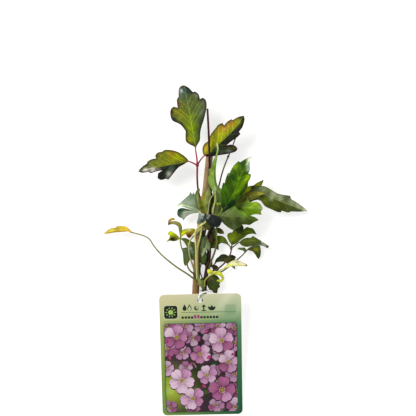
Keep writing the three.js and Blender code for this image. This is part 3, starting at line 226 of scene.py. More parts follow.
# The blades of each compound leaf. A blade has a rib from its base to its tip, and the corners of its outline
# on the left and right of the rib. Its halves, left and right, rise away from the rib, cup, and have a colour
# each; where a blade is folded, the half turned from the light is painted darker, as painted shade. Its edge
# has a colour and a width, its veins are strong or weak, and its soft spots are rows of u, v, radius, colour
# and strength. Besides the leaf's own marks, the spots hold painted highlights, painted reflections of the
# sky and painted shade in folds and under other blades.
BLADES = {
    "top_leaf": {
        "middle": {
            "rise": (-0.22, -0.28), "cup": 0.05, "sides": ("#5c6820", "#566432"),
            "edge": ("#241c1e", 1.9), "veins": 1,
            "rib": "195.8 148 20.8, 192.5 130 24, 189.5 112 26.5, 186.5 98 27, 184.5 85.3 25",
            "left": """193.2 146, 189.6 144.4, 186 141.4, 185.5 137, 185.7 131, 180.4 124.6, 172.4 120.4,
            170.3 114.5, 171 109, 173.6 106.6, 177.7 107.7, 176.9 99.5, 178.5 97, 179 88.5, 181.5 85.8""",
            "right": """197.3 144.8, 199.8 140.2, 200.3 133, 201.2 128, 204.3 118, 206.7 105, 205.2 99.3,
            202.5 97.6, 200 99.2, 198.5 94, 195 91.4, 192.8 92, 188.5 87.6""",
            # The pale grey-teal spots at the tip and on the right shoulder are a painted reflection of the
            # sky.
            "spots": """192 128 9 #6f8a12 0.9, 191 117 8 #687c1c 0.7, 188 104 9 #4f5c2c 0.6,
            175.7 111.5 5 #7c7a1c 0.85, 182 116 6 #6f741e 0.6, 171 112 3.4 #241f24 0.9,
            174 119 4.5 #232a2c 0.95, 180 125 4.5 #26302a 0.95, 184.5 131 3 #2c382a 0.8,
            184.5 90 8 #263e40 0.95, 179.8 91 3.2 #b4c0c2 0.95, 179 96.5 3 #8b989a 0.85,
            188.5 92 5 #203634 0.9, 185 98 6 #3c4f3c 0.7, 196.5 94.4 3 #939b90 0.85, 193 98 5 #4a5834 0.6,
            178.6 104.5 3.6 #7a4434 0.85, 203.5 101 4 #565c52 0.9, 205.5 103 4 #6c7068 0.7,
            203 112 6 #68725c 0.85, 200.5 121 5 #40503a 0.8, 198.5 129 4 #3c4c2a 0.7,
            189.5 140 5 #8a8f14 0.85, 196.5 139 5 #627f1c 0.8, 187 142.5 3 #7c5c1c 0.7""",
        },
        "left": {
            "rise": (-0.75, -0.12), "cup": 0.06, "sides": ("#1c2622", "#6a720e"),
            "edge": ("#2a1a18", 1.5), "veins": 0.9,
            "rib": "188.8 161.2 18, 180 163.2 20, 168 165 20.5, 155 167.5 19, 138.2 171.5 14",
            "left": """184 164.3, 178.5 167.5, 173 174, 168.5 179.6, 165.5 178.8, 161 180, 157.6 178.3,
            158 173.5, 162.5 170.3, 156 171.6, 151 173.4, 148.5 172, 142 172.8""",
            "right": """186.5 158, 179 152.5, 172 150.2, 164.5 150, 162.3 151.6, 157.5 152.7, 155 156,
            156.2 158.3, 151 159.4, 147.2 161.8, 147 163.4, 141.5 167.3""",
            # The near-white and pale grey spots on the lower half are painted highlights.
            "spots": """177 157.5 6 #8e960c 0.85, 171 153 5 #8c701a 0.8, 165 155.5 5 #646c14 0.7,
            159 156 5 #5e5a1c 0.8, 155 162 7 #5a6420 0.85, 147 165 5 #47503a 0.85, 142 169.6 3.4 #3c4840 0.7,
            146 171.8 4 #dcd6d2 0.95, 153 171.4 4.5 #d4cecb 0.95, 158.5 170.6 3 #a8a8a4 0.8,
            161.5 175.5 5 #121a18 0.95, 163 179 4 #141c1a 0.8, 169.5 174 3.4 #c2c6bc 0.95,
            167.5 178 2.6 #8c9690 0.8, 178 166.4 6 #222c26 0.85, 172 169.5 4 #56605a 0.7""",
        },
        "right": {
            "rise": (-0.1, -0.38), "cup": 0.05, "sides": ("#80880f", "#18231f"),
            "edge": ("#34181c", 1.5), "veins": 1,
            "rib": "204 156 17, 213 149 18, 224 138.8 19.5, 235 128 21, 243.8 115.5 23",
            "left": """202.9 153, 202.5 148.5, 204.5 143.8, 208.5 141, 210.5 135, 215.5 128.3, 218.5 124.5,
            222.5 123, 224 125.6, 227.5 121.5, 231.3 119.2, 232.8 120, 238 117""",
            "right": """208 156.8, 217 155.6, 228 153.8, 236 151.3, 237.6 148.8, 235.5 146, 230.5 144.6,
            226.5 145.5, 231 141.6, 237 137.4, 240.6 134, 239 131.8, 242.5 127, 244.6 119""",
            "spots": """205.5 147.5 4.5 #bc981c 0.9, 209 150 4 #8c9210 0.7, 213 138 5 #a09c18 0.8,
            220 134.5 6 #98a018 0.8, 224 127.5 5 #a87430 0.85, 218 131 4 #b08c28 0.6,
            231.5 123 5 #a06a30 0.85, 223 124 2.6 #40242c 0.9, 237 121.5 5 #848e24 0.8,
            241.5 117.5 4 #363c2a 0.9, 229 149 5 #343e1e 0.85, 234.5 147.2 3 #545220 0.8,
            229 152.4 4 #6c736e 0.85, 222 153.6 4 #525c54 0.7, 216 150 5 #28362e 0.7, 231 139 6 #26322a 0.6,
            238.6 131.5 4 #20282a 0.8""",
        },
    },
    "narrow_leaf": {
        "blade": {
            "rise": (0.25, -0.3), "cup": 0.03, "sides": ("#8eb04a", "#6c8840"),
            "edge": ("#6f9034", 0.6), "veins": 0.6,
            "rib": """216 204 12.8, 215.2 189 15, 213.4 178 18, 214.3 166 21, 216.9 153 24, 217.9 147.6 25.5,
            216.6 142.4 26.5""",
            "left": """213.9 197, 212.6 190.6, 209.8 187, 208.3 182, 207.8 176.6, 209.5 175.4, 208.8 169.4,
            211.2 168, 213 161.4, 215.2 156.6, 216.8 150.4, 216.7 146.2""",
            "right": """221.4 203, 222 194, 221.2 189, 218.2 186.4, 216.8 183, 215.9 177, 215.9 168,
            217.3 157, 218.6 150, 218.2 146""",
            "spots": """209 182 5 #8fb054 0.85, 210 172 4 #84a848 0.7, 213.5 161 5 #638c24 0.8,
            214.5 168 3 #587c20 0.7, 217.2 152 4 #9cb46c 0.85, 217.1 143.8 5.6 #c8d49c 1,
            218.5 191 5 #7f985c 0.75, 219 199 5 #667c44 0.8, 214.4 188 3 #a4bc80 0.8,
            215.4 199 3 #8ca060 0.7""",
        },
    },
    "forked_leaf": {
        "upper": {
            "rise": (0.3, 0.25), "cup": 0.05, "sides": ("#a8ba94", "#8ea384"),
            "edge": ("#7c9068", 0.6), "veins": 0.7,
            "rib": "199.8 211.4 12.9, 193 207.8 15, 185 205.6 16, 177.2 205.5 15",
            "left": "195 210.8, 188.5 208.6, 182.5 206.6",
            "right": """198.6 206, 196.3 197.5, 193.6 192.3, 192.2 194.4, 190.3 191.6, 189.2 194.8,
            183.5 199.8""",
            "spots": """180 204.8 5 #c8d6b4 0.9, 188 204 4 #a8baa0 0.7, 193 194 4 #5f7a58 0.85,
            190 198.5 4 #7c8f74 0.7, 186 201 4 #9cab9a 0.7, 197.5 208 5 #6c8464 0.8,
            192 209 4 #8ca07c 0.7""",
        },
        "lower": {
            "rise": (-0.35, -0.1), "cup": 0.05, "sides": ("#a8b49c", "#2a4a34"),
            "edge": ("#50644c", 0.6), "veins": 0.4,
            "rib": "200.3 212.3 12.4, 191.5 211.3 12.4, 183.5 212 12.2, 177 213 10.5",
            "left": "196 213, 190 214.3, 186 217, 183.6 220.3, 182 218, 179.8 217.6, 177.6 215.5",
            "right": "194.5 210.9, 187 208.8, 181 208, 177.8 209.6",
            "spots": """180 211.5 5 #1f3c28 0.98, 178.6 215 3 #22382a 0.9, 181 218 3 #34463a 0.85,
            186 213.4 3.5 #a4a49c 0.9, 193 212.6 5 #9eb090 0.85, 185 217 3 #b4bcaa 0.85,
            183.5 219.6 2 #44504a 0.8""",
        },
        "upright": {
            "rise": (0.5, -0.5), "cup": 0, "sides": ("#72864c", "#6c7438"),
            "edge": ("#5c6034", 0.6), "veins": 0.5,
            "rib": "199.8 211 13.3, 198 203 16.3, 197.2 196 18, 198.9 188.2 19",
            "left": "197.2 206.5, 195.5 200, 195.2 194, 197 190",
            "right": "201 206, 200.3 200, 199.4 194, 200 189.3",
            "spots": "198.7 191 4 #5e5a34 0.8, 197 199 4 #8c9a68 0.6, 199 206 4 #7c9040 0.7",
        },
        # This blade is in shade: its dark slate left half is painted shade, and its grey-teal right half and
        # pale spots a painted reflection of the sky.
        "hanging": {
            "rise": (-0.3, -0.4), "cup": 0.05, "sides": ("#22302e", "#84948a"),
            "edge": ("#5a6c60", 0.6), "veins": 0.3,
            "rib": "200.6 211.2 12.6, 201.3 216 13, 200.3 220 12.6, 197.2 224.4 11.2",
            "left": "204.2 211.6, 207.4 213.4, 206 218, 204 221.4, 200.8 222.8",
            "right": "198.8 213.5, 198.2 218, 196.9 222",
            "spots": """205 216 3.6 #22302e 0.9, 200.4 214 2.4 #7c8c86 0.85, 202.8 214.6 2 #c0ccc0 0.95,
            202 218 2 #a0aca2 0.8, 199 222 3 #5c6c60 0.7, 203 221 3 #44544c 0.7""",
        },
        # A blade in deep shade: its near-black colours are painted shade, and the two small grey spots at its
        # foot a painted reflection on its folded edge.
        "shaded_front": {
            "rise": (-0.05, -0.2), "cup": 0.05, "sides": ("#1c2423", "#1a2220"),
            "edge": ("#263030", 0.8), "veins": 0.12,
            "rib": "207.8 213.8 13.6, 212.5 219 17.4, 215 223 18, 216.5 227.3 17",
            "left": "213.5 214.8, 218 216.4, 222.2 220.6, 220.8 224.2, 219 227",
            "right": "206.5 216.6, 205.2 220, 207 223.5, 211 226, 213.8 226.8",
            "spots": "207.4 217.6 1.8 #8c948c 0.85, 208.9 215.2 1.8 #98a098 0.85, 215 222 6 #1a201f 0.7",
        },
        "olive": {
            "rise": (-0.05, -0.15), "cup": 0.04, "sides": ("#6f7a1c", "#848c44"),
            "edge": ("#7c6c28", 0.8), "veins": 0.5,
            "rib": "206.9 214.2 13.4, 204.8 205 15.4, 205.5 197 16.4, 208.8 187 17",
            "left": "200.6 210.4, 199.4 204.5, 199.2 199.5, 202.2 195, 205.8 190",
            "right": "208.6 210, 210.2 204, 210.8 197, 210.4 190.5",
            "spots": """201.2 208 3 #363c12 0.95, 200.8 203 2.2 #444a18 0.8, 202 197.5 3.4 #b08a48 0.85,
            204 200.5 3 #848a1c 0.7, 206.6 201 3 #8f9c54 0.8, 208.8 190 4.4 #66784c 0.85,
            209.4 198 3.4 #5c6a46 0.85, 208.6 206 3 #4c5a3c 0.8, 207 208 3.5 #647038 0.7,
            205 193 3 #8a9050 0.6""",
        },
        # A dark blade in the gap beside the old stem: its dark brown is partly the leaf's own colour and
        # partly painted shade.
        "strip": {
            "rise": (-0.1, -0.1), "cup": 0.03, "sides": ("#3a3528", "#3c3a28"),
            "edge": ("#2c2a1c", 0.6), "veins": 0.2,
            "rib": "209.6 212 10.8, 210.8 205 11.4, 212 197.6 11.8, 213 193.4 11.8",
            "left": "209 206, 210.4 199.5, 211.6 195",
            "right": "213 208, 214.6 201.5, 214.9 196",
            "spots": "211 208 3 #241e18 0.8",
        },
    },
    "great_leaf": {
        "high": {
            "rise": (-0.3, -0.18), "cup": 0.05, "sides": ("#334e08", "#3c5a0a"),
            "edge": ("#3a6410", 0.7), "veins": 0.8,
            "rib": "219 214.6 15, 227.5 204 20, 235 190.5 25, 240.5 176 29, 246 165 31.5, 252 156.7 33",
            "left": """220.8 209, 220.6 203.5, 221.2 199, 221.4 189, 222.9 182.7, 224.7 183.2, 225.9 178,
            227.8 173, 229.4 173.4, 231 170.3, 234 165.3, 238.4 161, 240 162.3, 246.5 158.4""",
            "right": """224 213, 229 209.8, 235.4 205.4, 237 199.8, 241 196.5, 244.5 191.5, 247.6 187,
            248.3 182, 250.4 178, 250.9 174.2, 248.4 173.8, 249.9 169, 249.6 163.5""",
            # Painted light and shade: the near-black spots at the foot are shade where the blade curls under,
            # and the pale spots near the tip and at the upper left are painted highlights.
            "spots": """229 206 10 #05180a 0.99, 234.5 203 5 #0c2814 0.95, 223.5 211 7 #0c2c16 0.95,
            225 198 7 #2c540c 0.85, 224.6 189 5 #3c6a0a 0.8, 232 178 6 #1d3e12 0.9, 230 187 5 #2f540c 0.8,
            235 166 4.5 #74a00c 0.9, 231.5 172 3 #527c10 0.7, 240.5 172 6 #3c5c0c 0.8,
            236 184 4 #4c780c 0.85, 239 178.5 3 #5c8c0c 0.7, 234 196.4 3 #5f8c08 0.6,
            236 193.4 3 #648f08 0.6, 238 190.5 3 #6a9708 0.6, 240 187.6 3 #709f08 0.6,
            242 184.8 3 #78a80a 0.62, 244 182 3 #84b40a 0.66, 246 179.4 3 #90c00c 0.72,
            248.2 176.8 3 #a0cc10 0.85, 238 197.6 2.8 #14300c 0.95, 241.4 194.2 2.8 #14300c 0.96,
            244.6 190.6 2.8 #14300c 0.97, 247 186.6 2.6 #1a380c 0.97, 238 198 4 #355c10 0.8,
            243.6 163.5 4 #2c4c20 0.85, 248.6 169 3.2 #a8c0a0 0.95, 248.6 164.6 3 #c4d6b8 0.98,
            250 159.6 3.6 #e4eed2 1, 227 173.4 2.8 #a8c0ae 0.95, 242 177.5 3.5 #4c7010 0.7""",
        },
        "wide": {
            "rise": (-0.15, -0.3), "cup": 0.06, "sides": ("#52662c", "#384420"),
            "edge": ("#50681f", 0.7), "veins": 0.35,
            "rib": "218.8 215.2 15, 229 216.2 19.5, 240 216.6 22, 250 218 22, 259 220 19",
            "left": """219.8 213.6, 223.8 210.6, 228 208, 231.8 206, 235.5 206.6, 238.8 210.3, 243.5 211,
            248 214.8, 254.5 217""",
            "right": """217.6 217.4, 221 220.9, 225 225, 229 228, 232.5 230, 236.5 228.4, 240 226.6,
            242 224.6, 246 224.6, 249.5 225, 254 222.3""",
            # The darker right half and the dark spots on it are painted shade below the fold of the rib; the
            # grey-green spots near the foot of the left half are painted highlights.
            "spots": """224 213.5 6 #5c6a44 0.85, 228.5 211.5 4 #6c7850 0.8, 234.5 207.6 3.6 #648a30 0.9,
            231 214 5 #667a40 0.6, 239.5 211.5 3.4 #5c7c2c 0.8, 245 213.6 4 #76a024 0.9,
            250 217.6 4 #506c14 0.8, 255.5 219.6 4 #5c7418 0.8, 233 219 5 #4f5e30 0.7,
            238.5 222 4 #313e16 0.9, 245.5 222.5 4.5 #3c4c18 0.85, 228.5 223.5 5 #3f4c24 0.75,
            234 226.6 4 #5c6a42 0.8, 243 218.5 4 #647a34 0.7, 222 219 4 #4a5630 0.6""",
        },
        # The dark colours of this blade are painted shade: it lies in the recess under the wide blade.
        "low": {
            "rise": (-0.1, -0.1), "cup": 0.04, "sides": ("#2c3614", "#343f1c"),
            "edge": ("#2c3616", 0.7), "veins": 0.3,
            "rib": "218.5 214.9 14.1, 230 222 15, 238.5 227 14.8, 241.6 232.6 13.2",
            "left": "229 218.5, 236 220.8, 241.5 224, 243.6 227.4, 243.2 230.4",
            "right": "227 225.5, 232 228.6, 235.6 229.8, 237.6 233.6, 239.6 232.8",
            "spots": "240.5 227.5 5 #262e14 0.9, 235.5 230 3 #4c5c30 0.8, 238.4 233 2.5 #3c4430 0.7",
        },
        "small": {
            "rise": (0, 0), "cup": 0.04, "sides": ("#5c6834", "#4c5830"),
            "edge": ("#6c7a38", 0.6), "veins": 0.4,
            "rib": "218 216 13.8, 217.6 211 13.6, 218 202.6 15",
            "left": "212 214.6, 211.2 208.5, 212.6 203.2",
            "right": "221 213.6, 222.1 208.4, 221.4 203.8",
            "spots": """217.5 203.6 2.2 #98ac20 0.9, 212.4 206 2.2 #2a2418 0.85, 216 209 2.5 #6c7840 0.6,
            219 211 3 #3a4620 0.7""",
        },
    },
    "far_leaf": {
        "long": {
            "rise": (-0.12, -0.3), "cup": 0.05, "sides": ("#6c7844", "#434f12"),
            "edge": ("#545c30", 0.6), "veins": 0.7,
            "rib": "236 204.6 9.6, 248 197 13, 262 194.5 16.4, 275 199 16, 290 205 12, 307.5 210.7 5",
            "left": """234.6 203.4, 235.8 200.2, 238.6 197.6, 247 193, 252.5 188.8, 257 186.6, 262 185.8,
            267 187.3, 272.5 190.5, 278 193.6, 290.3 195.8, 291 199, 299 204""",
            "right": """242 205, 248 203.5, 254 200.6, 258 199.7, 261 201, 265 206.2, 271 209.2, 278 212.2,
            280.8 212.4, 281.8 210.8, 288.3 212.6, 290.6 211.7, 300 211.7""",
            # The pale spots from 274, 193 to the tip are a painted highlight along the ridge of the fold, and
            # the darker right half painted shade below it.
            "spots": """262 188.5 4.4 #8e9a72 0.85, 256 189.5 5 #606c44 0.8, 250.5 192 5 #505c36 0.85,
            268 195 4 #5c6440 0.8, 274 193.4 4.2 #b0b898 0.9, 281 197 4 #a8b08c 0.85, 271 199 3 #8e9a74 0.7,
            286 198.5 4 #566242 0.85, 290 196.6 2.4 #3f4830 0.85, 292 201.6 4.5 #9ca680 0.85,
            299 205.4 4.5 #b4bc98 0.9, 305 210 3.5 #c4cea4 0.95, 265 201.5 5 #606c14 0.85,
            273 206 5 #4e5c14 0.8, 279 210.4 3 #2e3616 0.8, 288 208.5 5 #4c5a2a 0.7, 296 210.4 4 #4a5830 0.7,
            251 199 5 #606c2c 0.8, 258 198 3 #7c8444 0.6""",
        },
        "behind": {
            "rise": (-0.1, -0.1), "cup": 0.03, "sides": ("#7a860c", "#58640e"),
            "edge": ("#2c3410", 0.8), "veins": 0.4,
            "rib": "236 204.4 9.3, 243 195.6 8.8, 250 188.5 9, 257 184 9.2, 263.8 179.8 9.2",
            "left": "237.5 199, 242 193, 246.8 187.6, 249.3 186, 253 185.5, 258 182.3",
            "right": "241 201.5, 247 195.5, 252 190.5, 256 187.8, 261.4 185.4, 262.8 182.3",
            "spots": "248 190 4 #a0a410 0.9, 252.6 187 2.6 #242c0c 0.9, 258.6 184 4.4 #a0ac10 0.98",
        },
        "folded": {
            "rise": (-0.1, -0.15), "cup": 0.03, "sides": ("#747420", "#5c6424"),
            "edge": ("#8c8430", 0.7), "veins": 0.4,
            "rib": "237 204 10.2, 245 198.8 15, 254 195.4 19, 265.2 193.3 20",
            "left": "240 199, 247 193.8, 253 191.4, 259 191.8",
            "right": "243 203, 249 201, 254.5 198.5, 260 195.5",
            "spots": """260 193.5 4 #96902c 0.8, 242 194.5 3.4 #947c34 0.8, 249 197 4.4 #74783a 0.8,
            245 201 4 #626c2c 0.8""",
        },
        "lime": {
            "rise": (0.2, -0.2), "cup": 0.04, "sides": ("#6a8a22", "#5e8014"),
            "edge": ("#84a430", 0.6), "veins": 0.5,
            "rib": "235.6 205.2 9.8, 243 207.2 14.4, 252 207.8 18, 262.9 208.6 17",
            "left": """238.5 203.4, 243 201.8, 246.2 200.2, 247.4 197.4, 248.8 201, 250 202.4, 256.8 202,
            260.8 204.6""",
            "right": "234.4 208, 238.6 212, 244 213.4, 250 215.6, 255 214.3, 261.6 214.9, 260.9 211.5",
            "spots": """240 206 5 #5f7a30 0.9, 245 204.4 4 #7c9a40 0.8, 247.4 199.6 2.6 #7ea040 0.8,
            255.5 203.6 4.4 #8eb418 0.9, 251 207.5 4 #82a82c 0.7, 261 207.5 3 #a8b878 0.85,
            252 212.5 4.5 #648a0c 0.85, 258 211.5 3.6 #80a020 0.7, 261 214 2 #44501c 0.85,
            244 211 4 #5c7c1c 0.7""",
        },
    },
    "right_leaf": {
        "inner": {
            "rise": (-0.1, -0.08), "cup": 0.04, "sides": ("#4e5a14", "#465214"),
            "edge": ("#30380e", 0.6), "veins": 0.4,
            "rib": "229 245.2 7.6, 224 241.8 7.3, 218 241.2 6.9, 210.2 243.8 6.4",
            "left": "225.5 243.8, 221.5 242.8, 218.7 244.6, 218.7 250.2, 215.5 248.6, 211 248.2",
            "right": "227.6 242, 225.2 237.8, 221.5 235.8, 216.5 236, 211.6 239.2",
            "spots": """212 241 4 #38241a 0.9, 221.5 238 4 #5c6e16 0.8, 217 247.5 3 #3a4412 0.8,
            216.5 241.5 3 #5c6818 0.6""",
        },
        "upper": {
            "rise": (-0.1, -0.1), "cup": 0.05, "sides": ("#5a6a0e", "#4a580e"),
            "edge": ("#3c4c10", 0.6), "veins": 0.5,
            "rib": "231.7 245.2 8.4, 234 239.5 9, 240 235 9.2, 248 231.5 9.2, 256.6 234.6 7.8",
            "left": """229 241, 227.2 236.5, 227.6 233.8, 229.8 232.6, 232.4 232.4, 233.2 229.8, 236 229.2,
            238 232, 243 229.6, 247 226.8, 249.2 227.6, 252.6 228.4, 255 231.4""",
            "right": "236 243.6, 241 239.6, 244.8 237, 247.5 234.8, 252.5 233.7",
            # The dark spot at 241, 231.5 is a painted shadow of the blade above it.
            "spots": """231.5 236.5 5 #647410 0.85, 241 231.5 3.6 #343e14 0.85, 236.6 230.6 3 #6c8c1c 0.7,
            248.5 230.4 5 #5f780e 0.85, 255 232.6 3 #3c4c14 0.7, 236 240 4 #4c6010 0.6,
            229 235 3 #566a18 0.7""",
        },
        "outer": {
            "rise": (-0.12, -0.2), "cup": 0.05, "sides": ("#55651c", "#4c5a1e"),
            "edge": ("#3a4416", 0.6), "veins": 0.4,
            "rib": "239.2 242.2 8.9, 246 241.2 10.4, 254 240.3 11.4, 262.2 241.3 10.4",
            "left": "242.5 239.2, 246.6 237.8, 250.6 237.8, 252.8 235.8, 256.2 237.8, 259.4 239.8",
            "right": "241 244.8, 245.5 246.8, 251.5 246, 257 244.3",
            "spots": """247 239.6 5 #4c5c14 0.6, 254 238 4 #5a6822 0.8, 251 244 4 #525c30 0.7,
            258.5 240 3 #3c4818 0.7""",
        },
    },
    "drooping_leaf": {
        "down": {
            "rise": (-0.1, -0.05), "cup": 0.04, "sides": ("#56601c", "#424f1a"),
            "edge": ("#303814", 0.6), "veins": 0.4,
            "rib": "247 250 6.8, 252 247 7.4, 256.8 250 6.6, 258.7 259.3 2",
            "left": "249 247.6, 254.5 245.5, 260.2 246, 260.9 251, 260.3 256",
            "right": "249.8 250.6, 252.8 251.4, 255.6 255, 257.3 258",
            "spots": "255.5 249.4 3.4 #80801a 0.9, 258.4 255.5 4 #363f14 0.85, 250.5 247.4 3 #404c1c 0.7",
        },
        "tipped": {
            "rise": (-0.1, 0.05), "cup": 0, "sides": ("#848e6c", "#78846a"),
            "edge": ("#727e62", 0.5), "veins": 0.3,
            "rib": "249.5 248 7.2, 256 244.8 8, 262 243.4 8.2, 268.9 247.2 6.6",
            "left": "253 244.9, 259 242.4, 263.5 242.6, 266.6 244.5, 268.6 245.7",
            "right": "254 247, 260 245.6, 264.3 246.5, 267 248.2",
            "spots": "257 243.8 3 #8c9674 0.7, 263.5 245 3 #a0a890 0.8, 268 247 2.2 #22160f 1",
        },
        "inward": {
            "rise": (0, 0), "cup": 0, "sides": ("#4e6038", "#46582e"),
            "edge": ("#3c4c2a", 0.5), "veins": 0.3,
            "rib": "247.3 250.4 6.8, 242.5 248.8 7, 237.3 248.6 6.6",
            "left": "244.8 252.3, 242.5 250.3, 239.6 249.8",
            "right": "244.5 247.4, 242 247.6, 239.5 247.6",
            "spots": "",
        },
    },
    "under_leaf": {
        "outer": {
            "rise": (-0.05, -0.1), "cup": 0.04, "sides": ("#2a341a", "#3c4a18"),
            "edge": ("#1e2614", 0.6), "veins": 0.3,
            "rib": "214.8 263 5.2, 221 259.6 5.3, 229 258.2 5, 236.3 257 4.2",
            "left": "215.6 259.6, 218.6 256.8, 221.5 254.4, 225 254.2, 228 255.6, 232.5 254.8",
            "right": """218.5 262, 223.5 261.6, 227 263.4, 230.4 265.8, 235.2 269.4, 234.6 264, 236 261.2,
            234.8 258.8""",
            "spots": "220.5 256.4 4 #2a3230 0.9, 228 259.5 4 #46561a 0.75, 234 257.5 3 #34401a 0.7",
        },
        "inner": {
            "rise": (0, -0.1), "cup": 0.03, "sides": ("#2e3614", "#2a3014"),
            "edge": ("#242010", 0.5), "veins": 0.3,
            "rib": "212.2 267.2 4.9, 215.4 267.8 5, 219 270 4.4",
            "left": "213 265, 216 264.9, 218.3 267.2",
            "right": "213 270.3, 216.8 271.3",
            "spots": "213.4 266 2.2 #4a2a24 0.8",
        },
    },
    "curled_leaf": {
        "outer": {
            "rise": (0.12, -0.1), "cup": 0, "sides": ("#eeecbe", "#e2e67c"),
            "edge": ("#e0d8a0", 0.6), "veins": 0.4,
            "rib": "220.5 270.4 14.8, 226 267 15.4, 232 264.2 15.8, 240 263.8 15.2, 247.6 265.3 13.6",
            "left": "224 267.3, 228 263.4, 232 261, 236.3 260, 241.5 261.7, 246 263.7",
            "right": "224.8 268.8, 229.5 266.7, 236 266.2, 242.5 266.3, 246 266.5",
            "spots": """223.5 268.4 4 #d4d838 0.95, 229 265.6 4 #e6ea5c 0.85, 233 262.4 3 #f0f0cc 0.8,
            237 263 3 #a8ac74 0.75, 241 263.2 4 #efe2c2 0.85, 246.8 265.3 1.8 #22100c 1,
            236 265.6 4 #e8ee9c 0.7""",
        },
        "inner": {
            "rise": (-0.3, -0.3), "cup": 0.05, "sides": ("#c2ca2c", "#ccd438"),
            "edge": ("#d0d848", 0.5), "veins": 0.4,
            "rib": "215 273.1 14.8, 211 271.7 15.4, 207.2 271 15.2",
            "left": "212 274.2, 209.6 274.3, 207.6 273",
            "right": "212 270.3, 209.5 269.2, 207.6 269.6",
            # The darker spot at 212, 272.5 is painted shade.
            "spots": "208.4 271 2.6 #dce43c 0.8, 212 272.5 3 #989c30 0.7",
        },
        "hooked": {
            "rise": (-0.2, -0.35), "cup": 0, "sides": ("#c8d038", "#a8b02c"),
            "edge": ("#ccd44c", 0.5), "veins": 0.4,
            "rib": """213.4 273.4 14.8, 217.4 273 15, 221.3 274.8 15, 223.4 278.4 14.6, 221 281 14,
            216.8 280.4 13.4""",
            "left": "215.5 271, 219.4 271.2, 222.8 274.2, 224.6 278.4, 222.2 282.2, 218.8 282",
            "right": "215.6 275, 218.8 275.3, 221 277, 221.9 278.9, 220.4 279.9, 218 279.7",
            "spots": "218 272.6 4 #d4da48 0.7, 223.4 278 3 #989c34 0.85, 218.5 280.8 3.4 #7c8038 0.9",
        },
    },
    "low_leaf": {
        "blade": {
            "rise": (-0.2, -0.12), "cup": 0.05, "sides": ("#3e4b24", "#33421a"),
            "edge": ("#283412", 0.6), "veins": 0.4,
            "rib": "207.6 283.9 7.9, 210.6 280.6 8.8, 214.5 278.2 9.4, 219.7 279.6 9",
            "left": "207.2 280, 209.4 276.8, 213 274.8, 216.8 275.6, 219 277.8",
            "right": """208 287.2, 210.2 290.4, 213.2 292.6, 217.2 293.4, 217.9 288.8, 220.2 286.7,
            219.4 284.4, 220.3 282.4""",
            "spots": """209.6 279 4 #5c4a34 0.9, 213 287 5 #464e28 0.7, 217 286 4 #384818 0.6,
            215 279 4 #46582c 0.6""",
        },
    },
    "left_leaf": {
        "crook": {
            "rise": (-0.3, -0.3), "cup": 0, "sides": ("#a09c58", "#84863e"),
            "edge": ("#84823c", 0.6), "veins": 0.3,
            "rib": """180.3 238 10.6, 180.3 231 13.2, 180.2 226 15.6, 177 222.8 17.2, 172 222.6 17.6,
            168.2 225.4 16.6""",
            "left": "179.2 232, 178.2 226.8, 175.6 224.8, 172.5 224.3, 170 224.6",
            "right": "181.6 232, 182.1 227, 180 222.8, 176.2 221.2, 171.8 221.3, 168 222.4",
            "spots": """168.2 224.9 3 #241006 1, 180.4 230 4 #6a6e3a 0.8, 175 223 4 #a8a05c 0.7,
            171 223.4 2.6 #8c7c3c 0.7""",
        },
        "crook_end": {
            "rise": (0.2, -0.2), "cup": 0, "sides": ("#c29c26", "#ccaa30"),
            "edge": ("#9c7c24", 0.5), "veins": 0.2,
            "rib": "170.6 223 17.5, 168.9 221.2 18.4, 171 219.3 19, 175.4 219.8 18.6",
            "left": "168.2 222.6, 168.4 219.9, 171 218.2, 174 218.1",
            "right": "170.4 222.8, 170.6 221.2, 172 220.4",
            "spots": "168.2 224.6 3 #241006 1, 174 218.8 3 #b07c3c 0.85, 171 221 2 #dcb834 0.7",
        },
        "left": {
            "rise": (-0.3, 0.1), "cup": 0, "sides": ("#989824", "#bccc14"),
            "edge": ("#a4ac28", 0.5), "veins": 0.3,
            "rib": "179.8 238.6 10.6, 174.5 236.6 13, 170.5 237.6 13, 165.8 242.4 10.4",
            "left": "177.5 240.3, 174 241.3, 170 240.7",
            "right": "178.2 236, 174.6 233.2, 171 230.8, 168.6 232.2, 167.6 234.2, 169.7 235.4, 169.4 238",
            "spots": """171.5 232.6 4 #c8dc14 0.9, 172.4 239 4.4 #28100c 1, 176.5 236 3 #a0a02c 0.8,
            167.6 241 3 #6a6a34 0.9, 177 239.4 3 #8a8a34 0.8""",
        },
        "right": {
            "rise": (0.1, -0.1), "cup": 0, "sides": ("#c4d014", "#947c24"),
            "edge": ("#a89848", 0.5), "veins": 0.3,
            "rib": "180.8 238 10.8, 182.5 233.6 12.2, 187 231.4 12.2, 195.6 230.8 11.2",
            "left": "180.9 233, 182.5 230, 186 228.9, 190.5 228.4, 195 228.8",
            "right": "183.8 235, 186 234.4, 187 236.8, 189.4 238.4, 192.6 235.2",
            "spots": """182.8 231.6 3.4 #ccdc14 0.95, 189 229.2 3 #d6d29c 0.85, 189 236 4 #4c220f 1,
            194 231 3 #84741e 0.9, 187.6 232.4 2.6 #a8a824 0.7""",
        },
        "inner": {
            "rise": (-0.1, -0.1), "cup": 0.04, "sides": ("#5a6a2c", "#5c6c38"),
            "edge": ("#48541c", 0.6), "veins": 0.4,
            "rib": "180.4 238.6 10.5, 186 241.6 9, 190.5 245.5 7.6, 193.6 253 6, 194.6 261.6 4.6",
            "left": "184.5 237.9, 189 239.6, 192 241.6, 195 242.4, 195.8 247, 195.8 252, 195.4 257.5",
            "right": "184.3 242.4, 186.8 247, 188.8 252, 190.6 258",
            # The two bluish grey spots are a painted highlight.
            "spots": """185 240.4 4 #54662c 0.8, 192.8 245 3 #74803a 0.85, 190.6 248.6 2.2 #a4b2b2 0.95,
            191.8 252.4 2.2 #94a29c 0.9, 193.4 258.6 4 #5e6a30 0.8""",
        },
        "hanging": {
